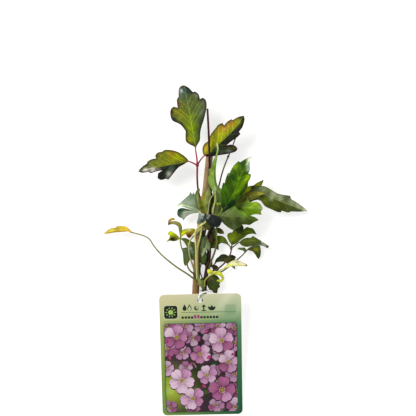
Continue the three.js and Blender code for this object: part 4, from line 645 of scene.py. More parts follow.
            "rise": (-0.15, -0.1), "cup": 0.04, "sides": ("#4e6044", "#546642"),
            "edge": ("#3c4c30", 0.6), "veins": 0.4,
            "rib": "181.9 248.3 8.8, 185.6 252 8.9, 187 258 8.7, 185.2 266.2 8",
            "left": "186.5 247.3, 189 250.5, 190.2 256, 189.5 260.6, 187 264.8",
            "right": "182.7 252, 183.2 258, 183.8 263.6",
            "spots": "185 249.6 3.4 #5c6c48 0.8, 184.6 256 4 #4c5c3c 0.7, 186.6 262 4 #5a661e 0.85",
        },
    },
    "inner_leaf": {
        "outer": {
            "rise": (-0.1, -0.1), "cup": 0.04, "sides": ("#484e18", "#363c16"),
            "edge": ("#2a2816", 0.5), "veins": 0.3,
            "rib": "214.6 229 7.8, 219 230.4 7.8, 224.2 233.6 6.8",
            "left": "217 227.2, 221 228.6, 223.5 231.2",
            "right": "216 231.6, 219.5 233.7, 222.3 234",
            "spots": "219 230 3 #483820 0.8, 222.5 232.4 2.4 #565a1c 0.6",
        },
        "inner": {
            "rise": (-0.1, -0.1), "cup": 0.03, "sides": ("#3c4c1c", "#384818"),
            "edge": ("#2a361a", 0.5), "veins": 0.3,
            "rib": "214 228.4 7.6, 213.8 233.5 8.3, 213.4 240.4 8.1",
            "left": "215.8 231.8, 216.9 236, 215.4 239.4",
            "right": "211.4 232.4, 211.3 236.6",
            "spots": "",
        },
        "withered": {
            "rise": (0.1, 0.1), "cup": 0, "sides": ("#38281c", "#2a2018"),
            "edge": ("#241812", 0.5), "veins": 0.2,
            "rib": "213.8 229 7.8, 211 235.6 10, 210.6 240 10.6, 211.6 243.6 10",
            "left": "212.4 236, 213 239.2, 212.8 242",
            "right": "209.2 236.6, 208.6 240, 209.6 242.6",
            "spots": "211 240.5 3 #4a241c 0.8, 212 233 4 #2c2c16 0.8",
        },
    },
    "middle_leaf": {
        "long": {
            "rise": (-0.1, -0.08), "cup": 0.04, "sides": ("#66784e", "#7c8f62"),
            "edge": ("#5c6c42", 0.6), "veins": 0.5,
            "rib": "206.8 236.4 9.6, 206.6 244 9.8, 204.6 251 9.8, 201.8 257.3 9.5",
            "left": "209.2 240.5, 210.3 245.5, 209.3 251.8, 207.7 249, 205.4 252, 203.6 255.4",
            "right": "204.5 241, 203.8 245.5, 202.4 250.5, 201.2 254.4",
            "spots": """208 242 4 #5c6c46 0.8, 203 251 4 #90a078 0.8, 208.6 248.6 3 #84946a 0.7,
            205.5 246 3 #6c7c52 0.6""",
        },
        "short": {
            "rise": (0, 0), "cup": 0, "sides": ("#4e603c", "#5c7444"),
            "edge": ("#465830", 0.5), "veins": 0.4,
            "rib": "206.8 236.2 9.5, 204.3 237 9.2, 203.2 240.6 8.9, 202.6 247 8.8, 201.4 255.6 8.6",
            "left": "205.8 238.6, 205 242, 204.2 248",
            "right": "205.5 234.6, 202.6 234.4, 201.2 237.6, 200.7 243, 200.2 250",
            "spots": "203 237 3 #405634 0.8, 202.4 251 4 #4e502a 0.9",
        },
        "bract": {
            "rise": (0, 0), "cup": 0, "sides": ("#5c5c20", "#666c30"),
            "edge": ("#484418", 0.5), "veins": 0.2,
            "rib": "210.4 228.4 9, 207.5 226.2 10.4, 203.9 228 10.2",
            "left": "208.8 230, 206 229.8, 204.2 229.4",
            "right": "209.8 223.6, 206.8 222, 203.8 224",
            "spots": "206 226 3 #54521c 0.7",
        },
        # A near-black blade in the gap between the stalks, where there is shade: its colours are painted
        # shade.
        "shade_filler": {
            "rise": (0, 0), "cup": 0, "sides": ("#1c1812", "#14110c"),
            "edge": ("#100d0a", 0.5), "veins": 0.2,
            "rib": "206.6 228.8 9.6, 204.8 231.6 9.8, 203.6 234.4 9.9, 202.6 237.6 9.8",
            "left": "206.2 231.2, 205.4 234.6, 203.6 237",
            "right": "205 229.2, 202.6 231.6, 202 235",
            "spots": "204 231 2 #282018 0.7",
        },
    },
    "back_leaf": {
        "blade": {
            "rise": (-0.04, -0.06), "cup": 0.02, "sides": ("#3c4c24", "#465830"),
            "edge": ("#2c3a1c", 0.6), "veins": 0.4,
            "rib": "201.2 264.4 7.9, 202.6 260 8.2, 204.2 255 8.2, 205.8 250.5 7.8",
            "left": "200.2 261.5, 200.2 256.5, 202.6 252.5",
            "right": "204.2 264.6, 206.4 260.3, 207 255",
            "spots": "204 262 3 #343f20 0.7, 203 254 3 #56683c 0.7",
        },
    },
    "yellow_leaf": {
        "blade": {
            "rise": (-0.8, -0.1), "cup": 0, "sides": ("#c29c20", "#d8c034"),
            "edge": ("#b48c2c", 0.6), "veins": 0.5,
            "rib": "133 232.6 12.8, 126 230.3 12.6, 117 230.3 11, 110 231.2 8.6, 103 233.7 5",
            "left": "128 231.6, 122 231.9, 115 232.5, 108.5 233.6",
            "right": """131 230.9, 128.6 228.4, 125.5 226.5, 117.2 225.9, 115.8 227.5, 110.5 228.5,
            106.5 231.2""",
            "spots": """112 229.6 6 #d0c444 0.8, 121 227.6 5 #dcc030 0.8, 130 231 4 #c0961c 0.85,
            118 231.6 5 #a0862c 0.6, 105 232.4 4 #b0a040 0.6""",
        },
    },
}

# Bare stems: the radius and the colour along each, and its joints, by shares of the length
STEMS = {
    "old_stem": {
        "path": """203 335 4.2, 203.6 315 4.4, 204 300 4.6, 204.4 290 4.8, 204.9 283 4.8, 205.9 276 4.6,
        207.3 268 4.4, 208.4 260 4.2, 209 252 4.2, 209 244 4.6, 209.3 236 5, 210.8 228 5.8, 211.6 219 7.2,
        211 210 8.4, 210.9 200 9.2, 210.8 190 10.2, 210.2 178 13, 209.8 168 15.8, 209.5 158 18.6,
        209.3 150 20.6, 208.9 140 22.6, 208.3 125 25.2, 207.5 109 28""",
        "radii": "0 2.2, 0.25 2.2, 0.4 2, 0.5 1.7, 0.6 1.45, 0.66 1.15, 0.8 1, 1 0.9",
        "colours": "0 #34241e, 0.2 #3a2822, 0.3 #3c2824, 0.42 #30201c, 0.6 #281a1a, 0.78 #34161f, 1 #481a26",
        "joints": [0.23, 0.31, 0.47, 0.555],
    },
    "young_shoot": {
        "path": "204.3 290.5 9.2, 202.8 286.6 10.2, 201 283 11, 199.3 280 11.8, 198.6 278.8 12.1",
        "radii": "0 1.2, 0.35 1.8, 0.75 2.05, 1 1.5",
        "colours": "0 #2e2a1a, 0.16 #4c5430, 0.4 #6a7640, 1 #889450",
        "joints": [0.62],
    },
    "dead_stalk": {
        "path": """212.3 204.2 10.6, 214.6 197 11, 218.3 188 11.2, 219.4 184 11.2, 222 173.5 10.6,
        226 162 10, 229.5 153.5 9.6, 232.6 146 9.8, 235.4 138 10.4""",
        "radii": "0 0.75, 1 0.55",
        "colours": "0 #42301f, 0.5 #56402c, 1 #6e5442",
        "joints": [0.72],
    },
    "twining_stalk": {
        "path": """194.6 271.2 12.5, 193.2 266.5 12.1, 191.4 261.5 11.7, 190 257 11.4, 188.9 250.5 11.4,
        188.8 245 11.2, 190.3 240.5 10.4, 193 236.8 9.3, 196.3 233.2 8.6, 199.5 230 8.2, 203 227.6 8.1,
        206.5 226.2 8""",
        "radii": "0 0.85, 1 0.6",
        "colours": "0 #6c7444, 0.5 #a0a864, 1 #d0d48c",
        "joints": [0.5],
    },
}

CANE_ENDS = {"top": [209.9, 152], "foot": [190.9, 339]}
LABEL_TOP = [200, 294]

# The loop hangs in the hole of the label, and goes back over its top edge and round the old stem
LOOP_PATH = [
    [199.1, 299.2, 18.4], [198.8, 298.5, 20.7], [199.1, 296, 21.5], [200.7, 293.7, 21.8],
    [204.4, 292.1, 21.2], [208.6, 291.4, 19.2], [211.8, 291.5, 15.8], [211.3, 291, 12], [209, 290.5, 8.4],
    [208.2, 290.3, 5],
    [206.9, 290.2, 2], [204.5, 290.2, 1.1], [202.2, 290.2, 1.8], [200.8, 290.2, 4.6], [200.5, 291.2, 9.4],
    [200.3, 293.6, 14], [200.3, 297.6, 16.6],
]


# ---- Lines and places -------------------------------------------------------------------------------------

def rows(text):
    """The rows of numbers and colours in a text."""
    cells = [row.split() for row in text.split(",") if row]
    return [[cell if cell[0] == "#" else float(cell) for cell in row] for row in cells]


def height_of(level):
    """The height of a level of the plan: higher levels stand further apart."""
    return level * (1 + LIFT * level)


def place(u, v, z):
    """A plan point at a height, moved to where the eye above the plan sees it."""
    nearer = 1 - z / EYE_HEIGHT
    x = EYE.x - PLAN_MIDDLE.x + (u - EYE.x) * nearer
    y = PLAN_MIDDLE.y - EYE.y - (v - EYE.y) * nearer
    return [x * PLAN_UNIT, y * PLAN_UNIT, z]


def plan_path(text):
    """The places of a path of plan points."""
    return np.array([place(u, v, height_of(level)) for u, v, level in rows(text)])


def even_line(line, step):
    """The same line with its points an even step apart."""
    gaps = np.linalg.norm(np.diff(line, axis=0), axis=1)
    lengths = np.concatenate([[0], np.cumsum(gaps)])
    count = max(2, round(lengths[-1] / step))
    wanted = np.linspace(0, lengths[-1], count + 1)
    return np.column_stack([np.interp(wanted, lengths, column) for column in line.T])


def smooth_line(points, step, closed=False):
    """A smooth curve through the points, as a line with an even step (centripetal Catmull-Rom)."""
    points = np.array(points, float)
    if closed:
        ring = [points[-1], *points, points[0], points[1]]
    else:
        ring = [2 * points[0] - points[1], *points, 2 * points[-1] - points[-2]]
    share = np.linspace(0, 1, 13)[:-1, None]
    curve = []
    for before, start, end, after in zip(ring, ring[1:], ring[2:], ring[3:]):
        spans = ((before, start), (start, end), (end, after))
        first, middle, last = (np.linalg.norm(b - a) ** 0.5 + 1e-6 for a, b in spans)
        leave = ((start - before) / first - (end - before) / (first + middle)) * middle + end - start
        arrive = ((after - end) / last - (after - start) / (middle + last)) * middle + end - start
        curve.append(
            start * (2 * share**3 - 3 * share**2 + 1) + leave * (share**3 - 2 * share**2 + share)
            + end * (3 * share**2 - 2 * share**3) + arrive * (share**3 - share**2)
        )
    curve.append([ring[-2]])
    return even_line(np.vstack(curve), step)


def nearest(points, line):
    """For each flat point: how far the line is, where along it in steps, and on which side (left is 1)."""
    start, along = line[:-1, :2], np.diff(line[:, :2], axis=0)
    offset = points[:, None, :] - start[None]
    share = np.clip((offset * along).sum(-1) / (along * along).sum(-1), 0, 1)
    gaps = np.linalg.norm(offset - share[..., None] * along, axis=-1)
    best = gaps.argmin(1)
    row = np.arange(len(points))
    cross = along[best, 0] * offset[row, best, 1] - along[best, 1] * offset[row, best, 0]
    return gaps[row, best], best + share[row, best], np.where(cross >= 0, 1, -1)


def is_inside(points, outline):
    """Which of the points lie inside an outline."""
    x, y = points[:, 0, None], points[:, 1, None]
    a, b = outline, np.roll(outline, -1, axis=0)
    spans = (a[:, 1] > y) != (b[:, 1] > y)
    rise = np.where(b[:, 1] == a[:, 1], 1, b[:, 1] - a[:, 1])
    crossing = a[:, 0] + (y - a[:, 1]) / rise * (b[:, 0] - a[:, 0])
    return (spans & (x < crossing)).sum(1) % 2 == 1


def turning(before, corner, after):
    """How sharply a line turns at a corner, in degrees: left is positive."""
    a, b = np.subtract(corner, before), np.subtract(after, corner)
    return math.degrees(math.atan2(a[0] * b[1] - a[1] * b[0], a[0] * b[0] + a[1] * b[1]))


def net_points(outline, lines, step):
    """An even net of points inside an outline, clear of the lines that already have points."""
    low, high = outline.min(0), outline.max(0)
    down = np.arange(low[1] + step / 2, high[1], step * NET_ROW_GAP)
    across = np.arange(low[0], high[0], step)
    net = np.array([[x + (k % 2) * step / 2, y] for k, y in enumerate(down) for x in across])
    net = net[is_inside(net, outline)]
    taken = np.vstack(lines)
    tree = KDTree(len(taken))
    for index, (x, y) in enumerate(taken):
        tree.insert((x, y, 0), index)
    tree.balance()
    return np.array([p for p in net if tree.find((p[0], p[1], 0))[2] > step * NET_CLEARANCE]).reshape(-1, 2)


# ---- Colours and meshes -----------------------------------------------------------------------------------

def colour(code):
    """A screen colour as the linear red, green and blue that light uses."""
    parts = [int(code[i:i + 2], 16) / 255 for i in (1, 3, 5)]
    return np.array([p / 12.92 if p <= 0.04045 else ((p + 0.055) / 1.055) ** 2.4 for p in parts])


def blend(a, b, share):
    """Between two colours, or two rows of them, by a share for each point."""
    share = np.asarray(share, float)[..., None]
    return np.asarray(a) * (1 - share) + np.asarray(b) * share


def ramp(stops, shares):
    """The colours along a list of [share, colour]."""
    at = [stop[0] for stop in stops]
    found = np.array([colour(stop[1]) for stop in stops])
    return np.column_stack([np.interp(shares, at, column) for column in found.T])


class Shell:
    """The points, faces and painted values that make up one piece."""

    def __init__(self):
        self.points = []
        self.faces = []
        self.slots = []
        self.paint = []
        self.values = {"vein": [], "rib": [], "margin": [], "under": [], "veining": []}

    def add(self, points, faces, paint, slot=0, **values):
        """Adds a part of the piece. Where a value isn't given, what it measures is far away."""
        first = len(self.points)
        self.points.extend(np.asarray(points, float))
        self.faces.extend([[first + index for index in face] for face in faces])
        self.slots.extend([slot] * len(faces))
        self.paint.extend(paint)
        for name, column in self.values.items():
            column.extend(values.get(name, [FAR_AWAY] * len(points)))


def make_piece(name, shell, materials, node, sharp=50):
    """Turns a shell into an object that stands for a node of the model."""
    mesh = bpy.data.meshes.new(name)
    mesh.from_pydata([tuple(p * MM) for p in shell.points], [], shell.faces)
    for material in materials:
        mesh.materials.append(material)
    mesh.polygons.foreach_set("material_index", shell.slots)
    mesh.polygons.foreach_set("use_smooth", [True] * len(shell.faces))
    paint = mesh.color_attributes.new("paint", "FLOAT_COLOR", "POINT")
    paint.data.foreach_set("color", np.column_stack([shell.paint, np.ones(len(shell.paint))]).ravel())
    for value, column in shell.values.items():
        mesh.attributes.new(value, "FLOAT", "POINT").data.foreach_set("value", column)
    finish_piece(name, mesh, node, sharp)


def finish_piece(name, mesh, node, sharp):
    """Edges bending more than the sharp angle stay sharp; the piece joins the root body and its node is
    hidden.
    """
    mesh.update()
    mesh.validate()
    mesh.set_sharp_from_angle(angle=math.radians(sharp))
    piece = bpy.data.objects.new(name, mesh)
    bpy.context.scene.collection.objects.link(piece)
    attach(piece, "root")
    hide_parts(node)


# ---- Leaves -----------------------------------------------------------------------------------------------

# How sharply an outline turns at a notch, a point or a tooth, in degrees. A side vein leaves the rib at an
# angle, bends by a share of its reach and runs to a tooth that isn't too near the rib, in steps of the net.
NOTCH_ANGLE = 28
POINT_ANGLE = 46
TOOTH_ANGLE = 10
VEIN_ANGLE = 42
VEIN_BEND = 0.08
NEAREST_TOOTH = 3


def edge_line(corners, side, step):
    """One side of an outline: smooth between its notches and points, which stay sharp."""
    runs = [[corners[0]]]
    for before, corner, after in zip(corners, corners[1:], corners[2:]):
        runs[-1].append(corner)
        bend = turning(before, corner, after) * side
        if bend > NOTCH_ANGLE or bend < -POINT_ANGLE:
            runs.append([corner])
    runs[-1].append(corners[-1])
    return np.vstack([smooth_line(run, step)[:-1] for run in runs] + [corners[-1]])


def vein_lines(rib, corners, side, outline, step):
    """Side veins that leave the rib at an angle and curve out to the teeth."""
    veins = []
    flat = rib[:, :2]
    teeth = [
        corner for before, corner, after in zip(corners, corners[1:], corners[2:])
        if turning(before, corner, after) * side < -TOOTH_ANGLE
    ]
    for tooth in teeth:
        gap, at, _ = nearest(np.array([tooth]), rib)
        back = gap[0] / math.tan(math.radians(VEIN_ANGLE)) / step
        foot = int(np.clip(at[0] - back, 0.03 * len(rib), len(rib) - 3))
        if gap[0] < NEAREST_TOOTH * step:
            continue
        ahead = flat[foot + 1] - flat[foot]
        ahead = ahead / np.linalg.norm(ahead)
        reach = np.linalg.norm(tooth - flat[foot])
        elbow = (flat[foot] + tooth) / 2 + ahead * reach * VEIN_BEND
        line = smooth_line([flat[foot], elbow, tooth], step)[:-1]
        keep = is_inside(line[1:], outline) & (nearest(line[1:], outline)[0] > step * 0.7)
        count = int(np.argmin(np.append(keep, False)))
        if count > 2:
            veins.append(line[:count + 1])
    return veins


def split_blade(blade):
    """The flat net of a blade: its points, triangles, rib, outline and veins."""
    rib = [[u, -v, height_of(level)] for u, v, level in rows(blade["rib"])]
    corners = [[[u, -v] for u, v in rows(blade[name])] for name in ("left", "right")]
    sides = [[rib[0][:2], *between, rib[-1][:2]] for between in corners]
    spread = max(nearest(np.array(side), np.array(rib))[0].max() for side in sides)
    step = min(COARSE_NET, max(FINE_NET, spread / BROAD))
    rib = smooth_line(rib, step)
    left, right = (edge_line(np.array(side), turn, step) for side, turn in zip(sides, (1, -1)))
    outline = np.vstack([left[:-1], right[:0:-1]])
    veins = [
        vein for side, turn in zip(sides, (1, -1))
        for vein in vein_lines(rib, np.array(side), turn, outline, step)
    ]
    lines = [outline, rib[1:-1, :2], *[vein[1:] for vein in veins]]
    lines.append(net_points(outline, lines, step))
    starts = np.cumsum([0] + [len(line) for line in lines])
    chains = [list(range(starts[k], starts[k + 1])) for k in range(1, 2 + len(veins))]
    edges = [pair for chain in chains for pair in zip(chain, chain[1:])]
    points, _, faces, _, _, _ = delaunay_2d_cdt(
        [Vector(p) for p in np.vstack(lines)], edges, [list(range(len(outline)))[::-1]], 1, 1e-6
    )
    return np.array([tuple(p) for p in points]), faces, rib, outline, veins, spread


def raise_blade(blade, flat, rib, outline, veins, spread, seed):
    """The height of each point of a blade, with its veins sunk in, and how far the veins and margin are."""
    closed = np.vstack([outline, outline[:1]])
    margin = nearest(flat, closed)[0] * PLAN_UNIT
    gap, at, side = nearest(flat, rib)
    to_veins = [nearest(flat, line)[0] for line in veins] or [np.full(len(flat), FAR_AWAY)]
    vein = np.min(to_veins, axis=0) * PLAN_UNIT
    reach = gap * PLAN_UNIT
    rise = np.where(side > 0, *blade["rise"])
    height = np.interp(at, range(len(rib)), rib[:, 2])
    height += rise * (np.hypot(reach, RIB_SOFTNESS) - RIB_SOFTNESS) - blade["cup"] * reach**2 / CUP_LENGTH
    breadth = min(1, spread / BROAD)
    inner = np.clip(margin / FLAT_MARGIN, 0, 1) * breadth
    between = np.minimum(vein, reach)
    relief = PUFF * (1 - np.exp(-((between / PUFF_WIDTH) ** 2)))
    sunk = RIB_DEPTH * np.exp(-((reach / RIB_WIDTH) ** 2)) + VEIN_DEPTH * np.exp(-((vein / VEIN_WIDTH) ** 2))
    relief -= sunk
    wave = np.array([noise.noise((x * WAVE_SCALE, y * WAVE_SCALE, seed)) for x, y in flat])
    height += inner * relief + MARGIN_WAVE * wave * np.exp(-margin / WAVE_REACH) * breadth
    return height, side, reach, vein, margin


def paint_blade(blade, flat, side, reach, margin):
    """The two halves, soft spots, margin, and over it the spots of strength 1: burnt tips and a painted
    highlight.
    """
    left, right = (colour(code) for code in blade["sides"])
    edge, edge_width = blade["edge"]
    spots = rows(blade["spots"])
    found = blend(right, left, np.clip(0.5 + side * reach / 1.4, 0, 1))
    found = add_spots(found, flat, [spot for spot in spots if spot[4] < 1])
    found = blend(found, colour(edge), 0.85 * np.exp(-((margin / edge_width) ** 2)))
    return add_spots(found, flat, [spot for spot in spots if spot[4] == 1])


def add_spots(found, flat, spots):
    """Soft round spots over the colours found so far."""
    for u, v, radius, code, strength in spots:
        gap = np.hypot(flat[:, 0] - u, flat[:, 1] + v) / radius
        found = blend(found, colour(code), strength * np.clip(1.25 - gap, 0, 1) ** 1.2)
    return found


def add_blade(shell, blade, seed):
    """A thin leaf blade with its upper and lower skin, and the midrib below it."""
    flat, faces, rib, outline, veins, spread = split_blade(blade)
    height, side, reach, vein, margin = raise_blade(blade, flat, rib, outline, veins, spread, seed)
    upper = np.array([place(u, -v, z) for (u, v), z in zip(flat, height)])
    thickness = BLADE_THICKNESS * (0.55 + 0.45 * np.clip(margin / THIN_MARGIN, 0, 1))
    lower = upper - point_normals(upper, faces) * thickness[:, None]
    count = len(upper)
    slab = [list(face) for face in faces] + [[count + k for k in reversed(face)] for face in faces]
    slab += [[a, a + count, b + count, b] for a, b in open_edges(faces)]
    found = paint_blade(blade, flat, side, reach, margin)
    values = {"vein": vein, "rib": reach, "margin": margin, "veining": np.full(count, blade["veins"])}
    doubled = {name: [*column, *column] for name, column in values.items()}
    under = [0] * count + [1] * count
    shell.add([*upper, *lower], slab, [*found, *found], under=under, **doubled)
    add_midrib(shell, rib, blade["sides"][0])


def add_midrib(shell, rib, skin):
    """The rib stands out below its blade and fades away towards the tip."""
    line = np.array([place(u, -v, z) for u, v, z in rib])[: max(4, int(0.8 * len(rib)))]
    radii = 0.15 + 0.4 * (1 - np.linspace(0, 1, len(line))) ** 1.2
    line[:, 2] -= BLADE_THICKNESS / 2 + RIB_DEPTH + radii * 0.8
    add_thin_tube(shell, line, radii, blend(colour(skin), colour(RIB_TINT), 0.4), STALK_SLOT)


def point_normals(points, faces):
    """The direction in which the surface faces at each point."""
    corners = points[np.array(faces)]
    across = np.cross(corners[:, 1] - corners[:, 0], corners[:, 2] - corners[:, 0])
    found = np.zeros_like(points)
    for k in range(3):
        np.add.at(found, np.array(faces)[:, k], across)
    return found / np.maximum(np.linalg.norm(found, axis=1), 1e-12)[:, None]


def open_edges(faces):
    """The edges that only one face uses, each in that face's direction."""
    used = {(face[k], face[(k + 1) % len(face)]) for face in faces for k in range(len(face))}
    return [(b, a) for a, b in used if (b, a) not in used]


# ---- Stalks, stems and other round things -----------------------------------------------------------------

def turns(count):
    """Even turns of a full circle, in radians."""
    return [2 * math.pi * k / count for k in range(count)]


def square_on(ahead, across):
    """A direction across, made square to the one ahead, and the third direction square to both."""
    across = across - ahead * across.dot(ahead)
    across /= np.linalg.norm(across)
    return across, np.cross(ahead, across)


def ring_faces(rings, sides, closed=False):
    """Four-cornered faces between rings of points, and on to the first ring again if they are closed."""
    faces = []
    for ring in range(rings if closed else rings - 1):
        after = (ring + 1) % rings
        for k in range(sides):
            beside = (k + 1) % sides
            faces.append([ring * sides + k, ring * sides + beside, after * sides + beside, after * sides + k])
    return faces


def tube(line, radii, sides, lobes=None):
    """A round closed tube along a line, with domed ends. Also gives the share along it of each point."""
    line, radii = np.asarray(line, float), np.asarray(radii, float)
    ahead = np.gradient(line, axis=0)
    ahead /= np.linalg.norm(ahead, axis=1)[:, None]
    rings = [(line[0] - ahead[0] * radii[0] * DOME_HEIGHT, radii[0] * DOME_RIM, ahead[0], 0.0)]
    rings += [(p, r, d, k / (len(line) - 1)) for k, (p, r, d) in enumerate(zip(line, radii, ahead))]
    rings.append((line[-1] + ahead[-1] * radii[-1] * DOME_HEIGHT, radii[-1] * DOME_RIM, ahead[-1], 1.0))
    across = np.cross(ahead[0], [0.3, 0.2, 1])
    points, shares = [], []
    for centre, radius, direction, share in rings:
        across, up = square_on(direction, across)
        for angle in turns(sides):
            size = radius * (lobes(angle, share) if lobes else 1)
            points.append(centre + (across * math.cos(angle) + up * math.sin(angle)) * size)
            shares.append(share)
    last = len(points) - sides
    faces = ring_faces(len(rings), sides) + [list(range(sides))[::-1], list(range(last, last + sides))]
    return points, faces, np.array(shares)


def add_thin_tube(shell, line, radii, tint, slot=0):
    """A thin tube of one colour."""
    points, faces, _ = tube(line, radii, THIN_SIDES)
    shell.add(points, faces, np.tile(tint, (len(points), 1)), slot)


def add_stalk(shell, stalk, seed):
    """A leaf stalk: its foot runs on into what carries it and swells there."""
    path = plan_path(stalk["path"])
    away = path[0] - path[1]
    path[0] = path[0] + away / np.linalg.norm(away) * STALK_ROOT
    line = smooth_line(path, STALK_STEP)
    shares = np.linspace(0, 1, len(line))
    length = STALK_STEP * len(line)
    swell = 1 + FOOT_SWELL * np.exp(-shares * length / FOOT_LENGTH)
    radii = np.interp(shares, [0, 1], stalk["radii"]) * swell
    radii *= 1 + 0.05 * np.array([noise.noise((s * length * 0.25, seed, 0)) for s in shares])
    points, faces, along = tube(line, radii, STALK_SIDES)
    shell.add(points, faces, ramp(list(enumerate(stalk["colours"])), along), STALK_SLOT)


def make_leaf(node, stalks, blades):
    """A compound leaf: its stalks and its blades, grown together."""
    shell = Shell()
    for seed, stalk in enumerate(stalks):
        add_stalk(shell, stalk, seed)
    for number, blade in enumerate(blades.values()):
        add_blade(shell, blade, number * BLADE_SEED_STEP)
    make_piece("fine_" + node, shell, [BLADE_MATERIALS[SLOTS[node]], STALK_MATERIAL], node)


def make_stem(node, stem):
    """A bare stem with a ribbed skin, swollen joints and a pair of buds at each joint."""
    line = smooth_line(plan_path(stem["path"]), STEM_STEP)
    shares = np.linspace(0, 1, len(line))
    length = STEM_STEP * len(line)
    radii = np.interp(shares, *zip(*rows(stem["radii"])))
    for joint in stem["joints"]:
        radii = radii * (1 + JOINT_SWELL * np.exp(-(((shares - joint) * length / 2) ** 2)))

    def lobes(angle, share):
        bark = noise.noise((math.cos(angle) * 1.6, math.sin(angle) * 1.6, share * length * 0.06))
        return 1 + 0.035 * math.cos(STEM_RIBS * angle) + 0.07 * bark

    shell = Shell()
    stops = rows(stem["colours"])
    points, faces, along = tube(line, radii, STEM_SIDES, lobes)
    shell.add(points, faces, ramp(stops, along))
    for joint in stem["joints"]:
        add_buds(shell, line, radii, joint, ramp(stops, [joint])[0])
    make_piece("fine_" + node, shell, [STEM_MATERIALS[SLOTS[node]]], node)


def add_buds(shell, line, radii, joint, skin):
    """A pair of small pointed buds, one on each side of a stem's joint."""
    at = int(joint * (len(line) - 1))
    ahead = line[at + 1] - line[at]
    ahead /= np.linalg.norm(ahead)
    across = np.cross(ahead, [0, 0, 1])
    across /= np.linalg.norm(across)
    size = radii[at] * 0.75
    for out in (-across, across):
        foot = line[at] + out * radii[at] * 0.7
        path = [foot, foot + (out * 0.55 + ahead * 0.7) * size, foot + (out * 0.7 + ahead * 1.9) * size]
        bud = smooth_line(path, size * 0.35)
        swell = np.sin(np.pi * np.clip(np.linspace(0, 1, len(bud)) * 0.75 + 0.2, 0, 1))
        add_thin_tube(shell, bud, size * (0.16 + 0.5 * swell), blend(skin, colour(BUD_TINT), 0.35))


# ---- Materials --------------------------------------------------------------------------------------------

class Graph:
    """Short calls that build the nodes of one material."""

    def __init__(self, name):
        self.material = bpy.data.materials.new(name)
        self.material.use_nodes = True
        self.tree = self.material.node_tree
        self.shader = self.tree.nodes["Principled BSDF"]
        where = self.node("ShaderNodeTexCoord").outputs["Object"]
        scaled = self.node("ShaderNodeVectorMath", {"operation": "SCALE"}, {0: where, "Scale": 1 / MM})
        self.place = scaled.outputs[0]

    def node(self, kind, settings=None, inputs=None):
        node = self.tree.nodes.new(kind)
        for key, value in (settings or {}).items():
            setattr(node, key, value)
        for key, value in (inputs or {}).items():
            self.feed(node.inputs[key], value)
        return node

    def feed(self, socket, value):
        if isinstance(value, bpy.types.NodeSocket):
            self.tree.links.new(value, socket)
        else:
            socket.default_value = value

    def value(self, name):
        return self.node("ShaderNodeAttribute", {"attribute_name": name}).outputs["Fac"]

    def colour(self, name):
        return self.node("ShaderNodeAttribute", {"attribute_name": name}).outputs["Color"]

    def noise(self, scale, detail, stretch=None):
        place = self.place
        if stretch:
            place = self.node("ShaderNodeMapping", None, {0: place, "Scale": stretch}).outputs[0]
        inputs = {"Vector": place, "Scale": scale, "Detail": detail}
        return self.node("ShaderNodeTexNoise", None, inputs).outputs["Fac"]

    def span(self, value, low, high, start, end):
        inputs = {"Value": value, "From Min": low, "From Max": high, "To Min": start, "To Max": end}
        return self.node("ShaderNodeMapRange", {"clamp": True}, inputs).outputs["Result"]

    def spread(self, noise, low, high):
        """A noise, most of which lies between 0.3 and 0.7, spread over a wider or narrower range."""
        return self.span(noise, 0.3, 0.7, low, high)

    def math(self, operation, a, b):
        return self.node("ShaderNodeMath", {"operation": operation}, {0: a, 1: b}).outputs[0]

    def mix(self, share, a, b, kind="MIX"):
        node = self.node("ShaderNodeMix", {"data_type": "RGBA", "blend_type": kind}, {0: share, 6: a, 7: b})
        return node.outputs[2]

    def tone(self, skin, shade):
        """The skin times a shade: darker where it is below 1, lighter where it is above."""
        grey = self.node("ShaderNodeCombineColor", None, {0: shade, 1: shade, 2: shade}).outputs[0]
        return self.mix(1, skin, grey, "MULTIPLY")

    def bump(self, height, strength, distance):
        inputs = {"Height": height, "Strength": strength, "Distance": distance * MM}
        self.feed(self.shader.inputs["Normal"], self.node("ShaderNodeBump", None, inputs).outputs["Normal"])

    def set(self, **inputs):
        for key, value in inputs.items():
            self.feed(self.shader.inputs[key.replace("_", " ")], value)
        return self.material


def rgba(code):
    """A screen colour as the four values of a colour socket."""
    return (*colour(code), 1)


